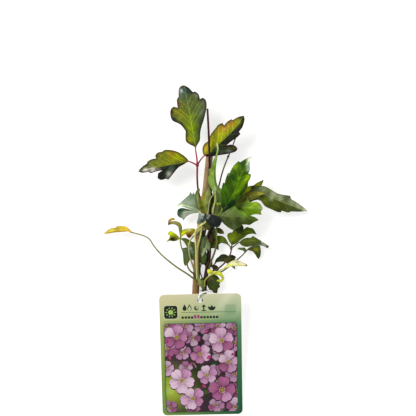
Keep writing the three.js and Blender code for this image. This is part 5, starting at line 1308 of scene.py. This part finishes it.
def leaf_material(name, vein_code, back_code, roughness, gloss, net_share):
    """Leaf skin: painted colour, paler veins and a fine net between them, with a paler back."""
    g = Graph(name)
    broad = g.noise(0.2, 5)
    fine = g.noise(0.9, 5)
    veining = g.value("veining")
    # A net of small cells with uneven walls
    shifted = g.node("ShaderNodeVectorMath", {"operation": "ADD"}, {
        0: g.place,
        1: g.node("ShaderNodeTexNoise", None, {"Vector": g.place, "Scale": 0.5}).outputs["Color"],
    }).outputs[0]
    distance = {"feature": "DISTANCE_TO_EDGE"}
    cells = g.node("ShaderNodeTexVoronoi", distance, {"Vector": shifted, "Scale": 0.48})
    net = g.span(cells.outputs["Distance"], 0.02, 0.16, 1, 0)
    # Broad clouds and a fine mottle over the painted colour
    skin = g.tone(g.colour("paint"), g.spread(broad, 0.76, 1.16))
    skin = g.tone(skin, g.span(fine, 0.25, 0.75, 0.92, 1.07))
    # Side veins, the rib and the net, of which the strongest shows; all but the rib fade towards the margin
    inner = g.span(g.value("margin"), 0.2, 3, 0.15, 1)
    lateral = g.math("MULTIPLY", g.span(g.value("vein"), 0.1, 0.5, 0.95, 0), inner)
    strand = g.math("MAXIMUM", lateral, g.span(g.value("rib"), 0.24, 0.6, 1, 0))
    strand = g.math("MAXIMUM", strand, g.math("MULTIPLY", g.math("MULTIPLY", net, inner), net_share))
    strand = g.math("MULTIPLY", strand, veining)
    # Veins are a lighter skin; the back of the leaf has a colour of its own
    pale = g.mix(0.07, g.mix(1, skin, (2.05, 2.05, 1.9, 1), "MULTIPLY"), rgba(vein_code))
    skin = g.mix(strand, skin, pale)
    skin = g.mix(g.math("MULTIPLY", g.value("under"), 0.5), skin, rgba(back_code))
    g.bump(g.math("ADD", g.math("MULTIPLY", net, -0.5), g.math("MULTIPLY", fine, 0.6)), 0.5, 0.16)
    return g.set(
        Base_Color=skin, Roughness=g.spread(fine, roughness - 0.06, roughness + 0.08),
        Specular_IOR_Level=gloss,
    )


def stalk_material():
    """The skin of leaf stalks: painted colour, finely mottled."""
    g = Graph("leaf_stalk_skin")
    mottle = g.noise(0.9, 3)
    skin = g.tone(g.colour("paint"), g.spread(mottle, 0.84, 1.16))
    g.bump(mottle, 0.35, 0.12)
    return g.set(Base_Color=skin, Roughness=0.5, Specular_IOR_Level=0.14)


def stem_material(name, roughness, contrast, relief):
    """Bark or green skin of a bare stem."""
    g = Graph(name)
    fibre = g.noise(0.9, 4, stretch=(1.6, 0.22, 1.6))
    speck = g.noise(2.4, 3)
    along = g.spread(fibre, 1 - contrast, 1 + contrast)
    shade = g.math("MULTIPLY", along, g.spread(speck, 0.92, 1.08))
    g.bump(g.math("ADD", fibre, g.math("MULTIPLY", speck, 0.3)), 0.7, relief)
    skin = g.tone(g.colour("paint"), shade)
    return g.set(Base_Color=skin, Roughness=roughness, Specular_IOR_Level=0.12)


def bamboo_material():
    """Dried cane: long pale and brown streaks with a satin skin."""
    g = Graph("bamboo_skin")
    streak = g.noise(0.8, 5, stretch=(1.8, 0.05, 1.8))
    cloud = g.noise(0.05, 3)
    speck = g.noise(1.6, 2)
    shade = g.math("MULTIPLY", g.spread(streak, 0.8, 1.14), g.spread(cloud, 0.9, 1.08))
    skin = g.tone(g.colour("paint"), shade)
    skin = g.mix(g.span(speck, 0.62, 0.72, 0, 0.35), skin, rgba("#6b4426"))
    g.bump(g.math("ADD", streak, g.math("MULTIPLY", speck, 0.2)), 0.5, 0.1)
    return g.set(Base_Color=skin, Roughness=g.spread(streak, 0.36, 0.5), Specular_IOR_Level=0.3)


def card_material():
    """Printed card under a thin gloss."""
    g = Graph("printed_card")
    grain = g.noise(3.2, 2)
    wave = g.noise(0.03, 1)
    skin = g.tone(g.colour("print"), g.spread(grain, 0.95, 1.05))
    g.bump(g.math("ADD", g.math("MULTIPLY", grain, 0.05), wave), 0.25, 0.4)
    return g.set(Base_Color=skin, Roughness=0.34, Specular_IOR_Level=0.3)


def loop_material():
    """White plastic that light enters a little way."""
    g = Graph("white_loop_plastic")
    cloud = g.noise(0.5, 2)
    g.bump(cloud, 0.2, 0.1)
    skin = g.mix(g.spread(cloud, 0, 1), rgba("#e9ebea"), rgba("#f6f7f5"))
    return g.set(
        Base_Color=skin, Roughness=0.28, Coat_Weight=0.2, Subsurface_Weight=0.15, Subsurface_Scale=0.001,
    )


SLOTS = {part["node"]: part["material_slot"] for part in frame["record"]["subparts"]}
BLADE_MATERIALS = {
    "bronze_leaf": leaf_material("bronze_leaf_skin", "#d4dc50", "#6f6c54", 0.5, 0.05, 0.42),
    "green_leaf": leaf_material("green_leaf_skin", "#a4c84c", "#93a870", 0.48, 0.06, 0.25),
    "grey_leaf": leaf_material("grey_leaf_skin", "#ccd8a4", "#a8b698", 0.52, 0.07, 0.22),
    "dark_leaf": leaf_material("dark_leaf_skin", "#7e9438", "#6f7e54", 0.5, 0.05, 0.22),
    "yellow_leaf": leaf_material("yellow_leaf_skin", "#f2eea0", "#d8d49a", 0.52, 0.1, 0.25),
}
STALK_MATERIAL = stalk_material()
STEM_MATERIALS = {
    "bark": stem_material("old_bark", 0.55, 0.4, 0.3),
    "green_shoot": stem_material("green_shoot_skin", 0.45, 0.14, 0.12),
    "dry_stalk": stem_material("dry_stalk_skin", 0.7, 0.25, 0.15),
}
BAMBOO_MATERIAL = bamboo_material()
CARD_MATERIAL = card_material()
LOOP_MATERIAL = loop_material()


# ---- Cane, loop and label ---------------------------------------------------------------------------------

# The cane's joints in millimetres from its foot, each a raised ring above a groove
CANE_JOINTS = [30, 99.5]
JOINT_RING = {"height": 0.5, "width": 1.7}
JOINT_GROOVE = {"depth": 0.35, "width": 0.5, "below": 1.5}
# Its bow to the left: share of the length, millimetres
CANE_BOW = [[0, 0], [0.24, 0], [0.34, 0.8], [0.42, 1.7], [0.5, 2.4], [0.56, 2], [0.66, 1], [0.8, 0.1], [1, 0]]
CANE_HOLLOW = {"radius": 1.3, "depth": 6}
# Painted shade: the share of its light that the inside of the hollow end keeps, and the dark brown towards
# which the cane's right side, turned from the light, is blended
HOLLOW_PAINTED_SHADE = 0.45
CANE_PAINTED_SHADE = "#46290f"
CANE_PAINT = rows("0 #70502a, 0.16 #8e6e44, 0.3 #906e42, 0.45 #8a6640, 0.6 #a2825a, 0.8 #b4966c, 1 #a68862")


def joint_swell(above):
    """How far the cane stands out at a height above one of its joints: a broad ring and a groove below it."""
    ring = JOINT_RING["height"] * math.exp(-((above / JOINT_RING["width"]) ** 2))
    from_groove = (above + JOINT_GROOVE["below"]) / JOINT_GROOVE["width"]
    return ring - JOINT_GROOVE["depth"] * math.exp(-(from_groove**2))


def cane_profile(length, facet):
    """The cane from its foot to the bottom of its hollow end, as pairs of a place along it and a radius."""
    near_joints = [joint + k * 0.7 for joint in CANE_JOINTS for k in range(-5, 6)]
    profile = [(0, 0), (0, facet - 0.35)]
    for at in sorted({*np.arange(0.4, length - 0.4, 3), *near_joints}):
        profile.append((at, facet + sum(joint_swell(at - joint) for joint in CANE_JOINTS)))
    hollow, bottom = CANE_HOLLOW["radius"], length - CANE_HOLLOW["depth"]
    rim = [(length, facet - 0.3), (length, hollow + 0.2), (length - 0.4, hollow)]
    return [*profile, *rim, (bottom, hollow), (bottom - 0.6, 0)]


def make_cane():
    """A dried bamboo cane with two joints and a hollow cut end, resting on the surface, with painted shade.
    """
    facet = CANE_DIAMETER / 2 * math.cos(math.pi / CANE_FACETS)
    foot, top = (np.array(place(*CANE_ENDS[end], facet)) for end in ("foot", "top"))
    length = np.linalg.norm(top - foot)
    ahead = (top - foot) / length
    across = np.cross(ahead, [0, 0, 1])
    profile = cane_profile(length, facet)
    points, paint = [], []
    for at, radius in profile:
        bow = np.interp(at / length, *zip(*CANE_BOW))
        skin = ramp(CANE_PAINT, [at / length])[0]
        light = HOLLOW_PAINTED_SHADE if radius <= CANE_HOLLOW["radius"] else 1
        for angle in turns(CANE_SIDES):
            size = radius * (1 + 0.012 * math.sin(3 * angle + at * 0.02))
            side = math.cos(angle) * size - bow
            point = foot + ahead * at + across * side + np.array([0, 0, math.sin(angle) * size])
            point[2] = max(point[2], 0)
            points.append(point)
            # Painted shade: the right side, turned from the light, is blended towards a dark brown, and the
            # inside of the hollow end is darkened
            shade = min(1, max(0, 0.4 + 0.75 * math.cos(angle)))
            paint.append(blend(skin, colour(CANE_PAINTED_SHADE), 0.55 * shade) * light)
    shell = Shell()
    shell.add(points, ring_faces(len(profile), CANE_SIDES), paint)
    merge_points(shell)
    make_piece("fine_bamboo_cane", shell, [BAMBOO_MATERIAL], "bamboo_cane", 40)


def merge_points(shell):
    """Joins the points that share a place, and drops the faces that this empties."""
    homes, index = {}, []
    for number, point in enumerate(shell.points):
        index.append(homes.setdefault(tuple(np.round(point, 6)), number))
    keep = sorted(set(index))
    renumber = {old: new for new, old in enumerate(keep)}
    merged = [[renumber[index[k]] for k in face] for face in shell.faces]
    merged = [[k for at, k in enumerate(face) if k != face[at - 1]] for face in merged]
    shell.slots = [slot for slot, face in zip(shell.slots, merged) if len(face) > 2]
    shell.faces = [face for face in merged if len(face) > 2]
    shell.points = [shell.points[k] for k in keep]
    shell.paint = [shell.paint[k] for k in keep]
    shell.values = {name: [column[k] for k in keep] for name, column in shell.values.items()}


def make_loop():
    """A closed loop of round white plastic."""
    line = smooth_line([place(*point) for point in LOOP_PATH], LOOP_STEP, closed=True)[:-1]
    ahead = np.roll(line, -1, axis=0) - np.roll(line, 1, axis=0)
    ahead /= np.linalg.norm(ahead, axis=1)[:, None]
    middle = line.mean(0)
    points = []
    for centre, direction in zip(line, ahead):
        across, up = square_on(direction, centre - middle)
        for angle in turns(LOOP_SIDES):
            points.append(centre + (across * math.cos(angle) + up * math.sin(angle)) * LOOP_RADIUS)
    shell = Shell()
    shell.add(points, ring_faces(len(line), LOOP_SIDES, closed=True), np.ones((len(points), 3)))
    make_piece("fine_label_loop", shell, [LOOP_MATERIAL], "label_loop")


# The print on the label, in millimetres from the middle of its top edge
CARD_BEVEL = 0.18
CARD_BACK = "#e4e6d2"
CARD_NET_STEP = 2.2
WINDOW_NET_STEP = 1.0
SHEEN_LENGTH = 26
# Down the edge of the card: how far out each ring of points lies, and its height, with the top face at 0
CARD_LEVELS = [(CARD_BEVEL, -CARD_BEVEL), (CARD_BEVEL, CARD_BEVEL - LABEL_THICKNESS), (0, -LABEL_THICKNESS)]
# The window is the third of the printed shapes
WINDOW_LAYER = 2
WINDOW = {"left": -33.8, "right": 33.4, "top": -28.3, "bottom": -115.2, "corner": 3.2}
CARD_LEFT = rows("0 #d6cfa8, 0.12 #c6c894, 0.3 #a0ae5a, 0.7 #829c46, 1 #769444")
CARD_RIGHT = rows("0 #ccd0ae, 0.12 #a4ba90, 0.27 #52855a, 0.5 #3c6e49, 0.8 #22603f, 1 #125234")
BACKDROP = ["#141f14", "#24321c", "#40203a", "#1c2a20", "#4a6626"]
GLADE = {"middle": (-30, -92), "radius": 17, "colour": "#b4c83c"}
PINKS = [
    ["#dab2cf", "#98608c"], ["#cc98bd", "#884678"], ["#bf84a8", "#7a3564"], ["#ac6690", "#682450"],
    ["#e4c8dc", "#a67c9c"],
]
PETAL_ORDER = [0, 2, 4, 1, 3]
STAMENS = 9
# Blossoms, from the back to the front: x, y, radius and turn in degrees, and how dim each is
BLOSSOMS = rows("""
    -32 -31 9 10 0.3, -15 -30 8.5 40 0.35, 1 -31 8 70 0.5, 16 -31 8.5 22 0.35, 31 -33 9 5 0.5,
    -8 -42 8 64 0.45, 9 -44 7.5 12 0.55, 31 -48 9 50 0.3, -32 -52 8.5 30 0.2, -18 -56 8.5 20 0.3,
    17 -58 8 0 0.5, -33 -71 8 0 0.15, 31 -78 9 33 0.45, -15 -72 7 15 0.4, 33 -95 8.5 55 0.55,
    -9 -112 8 12 0.35, 12 -75 6.5 37 0.55, 31 -111 9.5 25 0.3, -31 -111 8 44 0.35, 13 -109 8 60 0.4,
    -23 -41 11.5 2 0.06, 19 -45 12 24 0.1, -1 -58 10 50 0.02, 25 -66 11 8 0.16, -19 -84 12.5 58 0,
    5 -79 10.5 30 0.12, 19 -94 13 12 0, -9 -102 11.5 44 0.04
""")
# Buds and sprigs: x, y, length and turn in degrees, and the colour of a sprig
BUDS = rows("""
    5 -63 5.5 35, -29 -63 5 110, 4 -91 5 150, -10 -70 4.5 80, 34 -86 5 60, 3 -37 5 20, -33 -43 4.5 300,
    32 -58 4.5 200, 6 -110 4.5 330
""")
SPRIGS = rows("""
    -27 -72 8 200 #7f9f34, 12 -84 8 330 #3c5a34, -20 -108 9 15 #6f9a30, -33 -90 9 260 #9fbe3e,
    -33 -79 9 60 #86a83c, 22 -112 9 190 #4a6a34, 34 -40 8 120 #2f5038, 9 -52 8 240 #2c4830,
    -8 -66 7 300 #4a2440, 31 -70 7 20 #2f4c2c, 6 -97 7 70 #3c1f38, -30 -98 9 80 #a6c048
""")


def card_colour(x, y):
    """The green ground of the card at a place, with two slanting streaks of sheen near its top."""
    down = [min(1, max(0, -y / LABEL_LENGTH))]
    share = min(1, max(0, x / LABEL_WIDTH + 0.5))
    share = share * share * (3 - 2 * share)
    fading = max(0, 1 + y / SHEEN_LENGTH)
    sheen = 0.5 * math.exp(-(((x - 0.7 * y - 27) / 5) ** 2)) * fading
    sheen += 0.22 * math.exp(-(((x - 0.7 * y - 46) / 4) ** 2)) * fading
    found = blend(ramp(CARD_LEFT, down)[0], ramp(CARD_RIGHT, down)[0], share)
    return blend(found, colour("#e9ead0"), sheen)


def backdrop_colour(x, y):
    """The dark ground of the printed window at a place: clouds of its colours, and a light glade."""
    first = 0.5 + 0.9 * noise.noise((x * 0.09, y * 0.09, 2.5))
    second = 0.5 + 0.8 * noise.noise((x * 0.3, y * 0.3, 8.5))
    stops = [[k / (len(BACKDROP) - 1), code] for k, code in enumerate(BACKDROP)]
    found = ramp(stops, [min(1, max(0, first))])[0]
    near = math.dist((x, y), GLADE["middle"]) / GLADE["radius"]
    return blend(found * (0.6 + 0.7 * second), colour(GLADE["colour"]), 0.8 * math.exp(-(near**2)))


def rounded_box(left, right, bottom, top, corner, parts=6):
    """The outline of a box with round corners."""
    outline = []
    corners = [(right, top, 0), (left, top, 90), (left, bottom, 180), (right, bottom, 270)]
    for x, y, start in corners:
        cx = x - corner if x == right else x + corner
        cy = y - corner if y == top else y + corner
        for k in range(parts + 1):
            angle = math.radians(start + 90 * k / parts)
            outline.append((cx + corner * math.cos(angle), cy + corner * math.sin(angle)))
    return outline


def circle(x, y, radius, parts=24):
    """The outline of a circle."""
    return [(x + radius * math.cos(turn), y + radius * math.sin(turn)) for turn in turns(parts)]


def almond(x, y, length, heading, width):
    """A pointed leaf or bud outline from its foot."""
    shares = [k / 6 for k in range(7)]
    side = [(length * s, width * length * math.sin(math.pi * s) ** 0.8) for s in shares]
    outline = side + [(a, -b) for a, b in side[-2:0:-1]]
    c, s = math.cos(heading), math.sin(heading)
    return [(x + a * c - b * s, y + a * s + b * c) for a, b in outline]


def petal(x, y, radius, heading):
    """A round petal with a small notch at its tip."""
    side = [(0.05, 0.05), (0.25, 0.2), (0.5, 0.38), (0.72, 0.43), (0.9, 0.33), (0.99, 0.16)]
    outline = side + [(0.94, 0)] + [(a, -b) for a, b in reversed(side)]
    c, s = math.cos(heading), math.sin(heading)
    return [(x + radius * (a * c - b * s), y + radius * (a * s + b * c)) for a, b in outline]


def plain(code):
    """A shade that is the same all over."""
    found = colour(code)
    return lambda x, y: found


def petal_shade(cx, cy, radius, heading, pinks, dim):
    """Deeper at the foot of the petal, along its folds and at one of its rims."""
    pale, deep = colour(pinks[0]), colour(pinks[1])
    c, s = math.cos(heading), math.sin(heading)

    def shade(x, y):
        along = ((x - cx) * c + (y - cy) * s) / radius
        across = ((y - cy) * c - (x - cx) * s) / radius
        fold = 0.5 + 0.5 * math.cos(across * 22 + heading * 3)
        depth = 0.9 * math.exp(-((along / 0.36) ** 2)) + 0.42 * fold * (1.1 - along)
        rim = 1.5 * max(0, across * math.sin(heading + 0.8) - 0.05)
        found = blend(pale, deep, min(1, depth + rim))
        return blend(found, colour("#3c1630"), 0.85 * dim)

    return shade


def window_line(left=0, right=0, bottom=0, top=0, corner=0):
    """The outline of the printed window, or a line that stands further out on each side."""
    w = WINDOW
    sides = (w["left"] - left, w["right"] + right, w["bottom"] - bottom, w["top"] + top)
    return rounded_box(*sides, w["corner"] + corner)


def blossom_shapes(x, y, radius, turn, dim):
    """A flower: five petals, each over its own shadow, with a round heart and a ring of stamens."""
    shapes = []
    for k in PETAL_ORDER:
        heading = math.radians(turn + 360 // len(PETAL_ORDER) * k + random.uniform(-6, 6))
        size = radius * random.uniform(0.86, 1.06)
        pinks = random.choice(PINKS)
        shapes.append((petal(x + 0.35, y - 0.5, size * 1.06, heading), plain("#451d3c"), True))
        shapes.append((petal(x, y, size, heading), petal_shade(x, y, size, heading, pinks, dim), True))
    shapes.append((circle(x, y, radius * 0.13, 12), plain("#7a6a2a" if dim > 0.2 else "#9a8a28"), True))
    for sx, sy in circle(x, y, radius * 0.2, STAMENS):
        shapes.append((circle(sx, sy, radius * 0.035, 6), plain("#e6dc8c"), True))
    return shapes


def print_shapes():
    """Everything printed on the card, from the bottom up: outline, colour, and if the window cuts it."""
    rim = window_line(left=1.7, right=1.5, bottom=1.6, top=3.2, corner=1)
    shapes = [
        (rim, lambda x, y: blend(card_colour(x, y), colour("#2f7a4c"), 0.3), False),
        (window_line(0.5, 0.5, 0.5, 0.5), plain("#25402c"), False),
        (window_line(), backdrop_colour, False),
    ]
    for x, y, length, turn, code in SPRIGS:
        heading = math.radians(turn)
        shapes.append((almond(x, y, length, heading, 0.3), plain(code), True))
        shapes.append((almond(x, y, length, heading, 0.04), plain("#a9b878"), True))
    random.seed(11)
    for blossom in BLOSSOMS:
        shapes += blossom_shapes(*blossom)
    for x, y, length, turn in BUDS:
        heading = math.radians(turn)
        shapes.append((almond(x, y, length, heading, 0.32), plain("#8c2058"), True))
        shapes.append((almond(x, y, length * 0.8, heading, 0.12), plain("#c45a92"), True))
    return shapes + header_shapes()


SUN = (-27.5, -17)
SUN_RAYS = 10
MONTH_ROW = {"left": -17.6, "step": 2.9, "blooming": (4, 5)}
DROP = [
    (0, 5.4), (-1.3, 2.9), (-2.6, 0.4), (-2.6, -1.6), (-1.4, -3.1), (0, -3.6),
    (1.4, -3.1), (2.6, -1.6), (2.6, 0.4), (1.3, 2.9),
]


def header_shapes():
    """A sun on a dark square, a thin divider, bold care signs and a row of boxes for the months."""
    ink = plain("#1f2a22")
    shapes = []

    def add(outline, shade=ink):
        shapes.append((outline, shade, False))

    def bar(left, right, bottom, top, shade=ink):
        add([(left, bottom), (right, bottom), (right, top), (left, top)], shade)

    def drop(x, y, size, shade=ink):
        add([(across * size + x, up * size + y) for across, up in DROP], shade)

    def faint(x, y):
        return blend(card_colour(x, y), colour("#5f8a62"), 0.32)

    add(rounded_box(22.8, 33, -20.5, -10.4, 2.2), faint)
    add(rounded_box(-34.3, -20.7, -23.8, -10.2, 2.8), plain("#c9d3b0"))
    add(rounded_box(-33.7, -21.3, -23.2, -10.8, 2.4), plain("#22211f"))
    add(circle(*SUN, 2.3), plain("#a8c46a"))
    for k in range(SUN_RAYS):
        angle = 2 * math.pi / SUN_RAYS * k
        ray = almond(SUN[0] + 2.9 * math.cos(angle), SUN[1] + 2.9 * math.sin(angle), 2.3, angle, 0.24)
        add(ray, plain("#86b05c"))
    bar(-18, 33, -17.7, -17.2, plain("#4c7c50"))
    drop(-14.6, -13.4, 0.72)
    drop(-10, -13.4, 0.72)
    drop(-10, -13.9, 0.5, plain("#b9cf96"))
    add(circle(-3.6, -13.4, 2.2, 20))
    add(circle(-2.7, -12.8, 1.7, 20), faint)
    bar(2.6, 3.8, -15.8, -11.8)
    add([(0.9, -12.4), (5.5, -12.4), (3.2, -10)])
    bar(1, 5.4, -16.4, -15.6)
    for turn in (48, 90, 132):
        add(almond(10.6, -15.9, 5.2, math.radians(turn), 0.24))
    for month in range(12):
        left = MONTH_ROW["left"] + MONTH_ROW["step"] * month
        blooming = month in MONTH_ROW["blooming"]
        top, shade = (-20, plain("#9c3c7c")) if blooming else (-21.2, ink)
        bar(left, left + 2.2, -23.4, top, shade)
    return shapes


def top_shapes(middles, shapes):
    """For each place on the card, the number of the printed shape that lies on top there, or -1."""
    in_window = is_inside(middles, np.array(shapes[WINDOW_LAYER][0]))
    found = np.full(len(middles), -1)
    for number, (outline, _, cut) in enumerate(shapes):
        outline = np.array(outline)
        near = np.all((middles > outline.min(0)) & (middles < outline.max(0)), axis=1)
        near = np.flatnonzero(near & in_window if cut else near)
        found[near[is_inside(middles[near], outline)]] = number
    return found


def make_label():
    """The card with its hole and rounded edges. Its print is a flat mosaic of shapes in its top face."""
    half = LABEL_WIDTH / 2
    inset = CARD_BEVEL
    card = rounded_box(-half + inset, half - inset, -LABEL_LENGTH + inset, -inset, LABEL_CORNER - inset, 10)
    hole = circle(0, -LABEL_HOLE["from_top"], LABEL_HOLE["radius"] + inset, 32)
    shapes = print_shapes()
    window = np.array(shapes[WINDOW_LAYER][0])
    loops = [np.array(outline) for outline in (card, hole, *[shape[0] for shape in shapes])]
    starts = np.cumsum([0] + [len(loop) for loop in loops])
    chains = [list(range(a, b)) for a, b in zip(starts, starts[1:])]
    edges = [(chain[k - 1], chain[k]) for chain in chains[1:] for k in range(len(chain))]
    net = [net_points(loops[0], loops, CARD_NET_STEP), net_points(window, loops, WINDOW_NET_STEP)]
    points, _, faces, _, _, _ = delaunay_2d_cdt(
        [Vector(p) for p in np.vstack(loops + net)], edges, [chains[0]], 1, 1e-5
    )
    points = np.array([tuple(p) for p in points])
    middles = points[np.array([list(face) for face in faces])].mean(1)
    shades = [card_colour if number < 0 else shapes[number][1] for number in top_shapes(middles, shapes)]
    kept = np.flatnonzero(is_inside(middles, loops[0]) & ~is_inside(middles, loops[1]))
    build_card(points, [(list(faces[k]), shades[k]) for k in kept], card, hole)


def outward(point):
    """Which way the edge of the card faces at a point of it; round the hole, that is into the hole."""
    eye = Vector((0, -LABEL_HOLE["from_top"]))
    if (Vector(point) - eye).length < LABEL_HOLE["radius"] + 1:
        return (eye - Vector(point)).normalized()
    over = []
    middle = Vector((0, -LABEL_LENGTH / 2))
    for at, centre, size in zip(point, middle, (LABEL_WIDTH, LABEL_LENGTH)):
        beyond = max(0, abs(at - centre) - (size / 2 - LABEL_CORNER))
        over.append(math.copysign(beyond, at - centre))
    return Vector(over).normalized()


def build_card(points, shown, card, hole):
    """The printed top face, with bevelled edges down to a plain back."""
    solid = [(p[0], p[1], 0.0) for p in points]
    faces = [face for face, _ in shown]
    colours = [shade(*points[k]) for face, shade in shown for k in face]
    edges = open_edges(faces)
    ring = sorted({k for edge in edges for k in edge})
    upper = {k: k for k in ring}
    for shift, z in CARD_LEVELS:
        lower = {}
        for k in ring:
            flat = Vector(points[k]) + outward(tuple(points[k])) * shift
            lower[k] = len(solid)
            solid.append((flat.x, flat.y, z))
        faces += [[upper[a], lower[a], lower[b], upper[b]] for a, b in edges]
        upper = lower
    flat = [Vector(p) for p in card + hole]
    chains = [list(range(len(card))), list(range(len(card), len(flat)))]
    net, _, back, _, _, homes = delaunay_2d_cdt(flat, [], chains, 1, 1e-5)
    lowest = {tuple(round(c, 3) for c in points[k]): lower[k] for k in ring}
    for face, inside in zip(back, homes):
        if 1 not in inside:
            faces.append([lowest[tuple(round(c, 3) for c in net[k])] for k in reversed(face)])
    print_card(solid, faces, colours)


def print_card(points, faces, colours):
    """The card as a mesh, in its place, with a colour at each corner of its faces; the rest is plain."""
    kept = sorted({k for face in faces for k in face})
    renumber = {old: new for new, old in enumerate(kept)}
    mesh = bpy.data.meshes.new("fine_hang_label")
    corner_lists = [[renumber[k] for k in face] for face in faces]
    mesh.from_pydata([Vector(points[k]) * MM for k in kept], [], corner_lists)
    mesh.materials.append(CARD_MATERIAL)
    corners = sum(len(face) for face in faces)
    colours = colours + [colour(CARD_BACK)] * (corners - len(colours))
    print_layer = mesh.color_attributes.new("print", "FLOAT_COLOR", "CORNER")
    print_layer.data.foreach_set("color", np.column_stack([colours, np.ones(corners)]).ravel())
    lean = math.asin((LABEL_TOP_HEIGHT - LABEL_THICKNESS) / LABEL_LENGTH)
    where = Matrix.Translation(Vector(place(*LABEL_TOP, LABEL_TOP_HEIGHT)) * MM)
    mesh.transform(where @ Matrix.Rotation(math.radians(LABEL_TURN), 4, "Z") @ Matrix.Rotation(lean, 4, "X"))
    finish_piece("fine_hang_label", mesh, "hang_label", 30)


# ---- Camera, floor and light ------------------------------------------------------------------------------

FLOOR_HALF = 3


def make_camera():
    """The eye straight above the plan."""
    data = bpy.data.cameras.new("camera")
    data.sensor_width = 36
    data.lens = data.sensor_width * EYE_HEIGHT / VIEW_WIDTH
    data.clip_start, data.clip_end = 0.01, 10
    camera = bpy.data.objects.new("camera", data)
    camera.location = Vector(place(EYE.x, EYE.y, EYE_HEIGHT)) * MM
    bpy.context.scene.collection.objects.link(camera)
    bpy.context.scene.camera = camera


def make_floor():
    """A pale surface under the part."""
    mesh = bpy.data.meshes.new("floor")
    corners = [(x * FLOOR_HALF, y * FLOOR_HALF, 0) for x, y in ((-1, -1), (1, -1), (1, 1), (-1, 1))]
    mesh.from_pydata(corners, [], [(0, 1, 2, 3)])
    floor = bpy.data.objects.new("floor", mesh)
    bpy.context.scene.collection.objects.link(floor)
    g = Graph("pale_floor")
    skin = g.mix(g.noise(0.3, 2), rgba("#b4b4b3"), rgba("#bababa"))
    glow = {"Emission_Color": rgba("#ffffff"), "Emission_Strength": 0.66}
    mesh.materials.append(g.set(Base_Color=skin, Roughness=0.9, **glow))


def make_light(name, place_m, size, power, tint):
    """A square lamp at a place in metres, turned to the middle of the part."""
    data = bpy.data.lights.new(name, "AREA")
    data.size, data.energy, data.color = size, power, colour(tint)
    light = bpy.data.objects.new(name, data)
    light.location = place_m
    light.rotation_euler = (-Vector(place_m)).to_track_quat("-Z", "Y").to_euler()
    light.visible_camera = False
    bpy.context.scene.collection.objects.link(light)


def make_studio():
    """A white surround, a key light and a weaker fill light."""
    scene = bpy.context.scene
    scene.view_settings.view_transform = "Standard"
    world = bpy.data.worlds.new("studio")
    world.use_nodes = True
    background = world.node_tree.nodes["Background"].inputs
    background["Color"].default_value = rgba("#ffffff")
    background["Strength"].default_value = 0.34
    scene.world = world
    make_light("key_light", (-0.75, 0.55, 1.15), 0.6, 17, "#fffaf2")
    make_light("fill_light", (0.9, -0.3, 1.2), 1.0, 4, "#f2f7ff")


make_camera()
make_floor()
make_studio()
make_cane()
make_label()
make_loop()
for stem_node, stem_data in STEMS.items():
    make_stem(stem_node, stem_data)
for leaf_node, leaf_stalks in STALKS.items():
    make_leaf(leaf_node, leaf_stalks, BLADES[leaf_node])
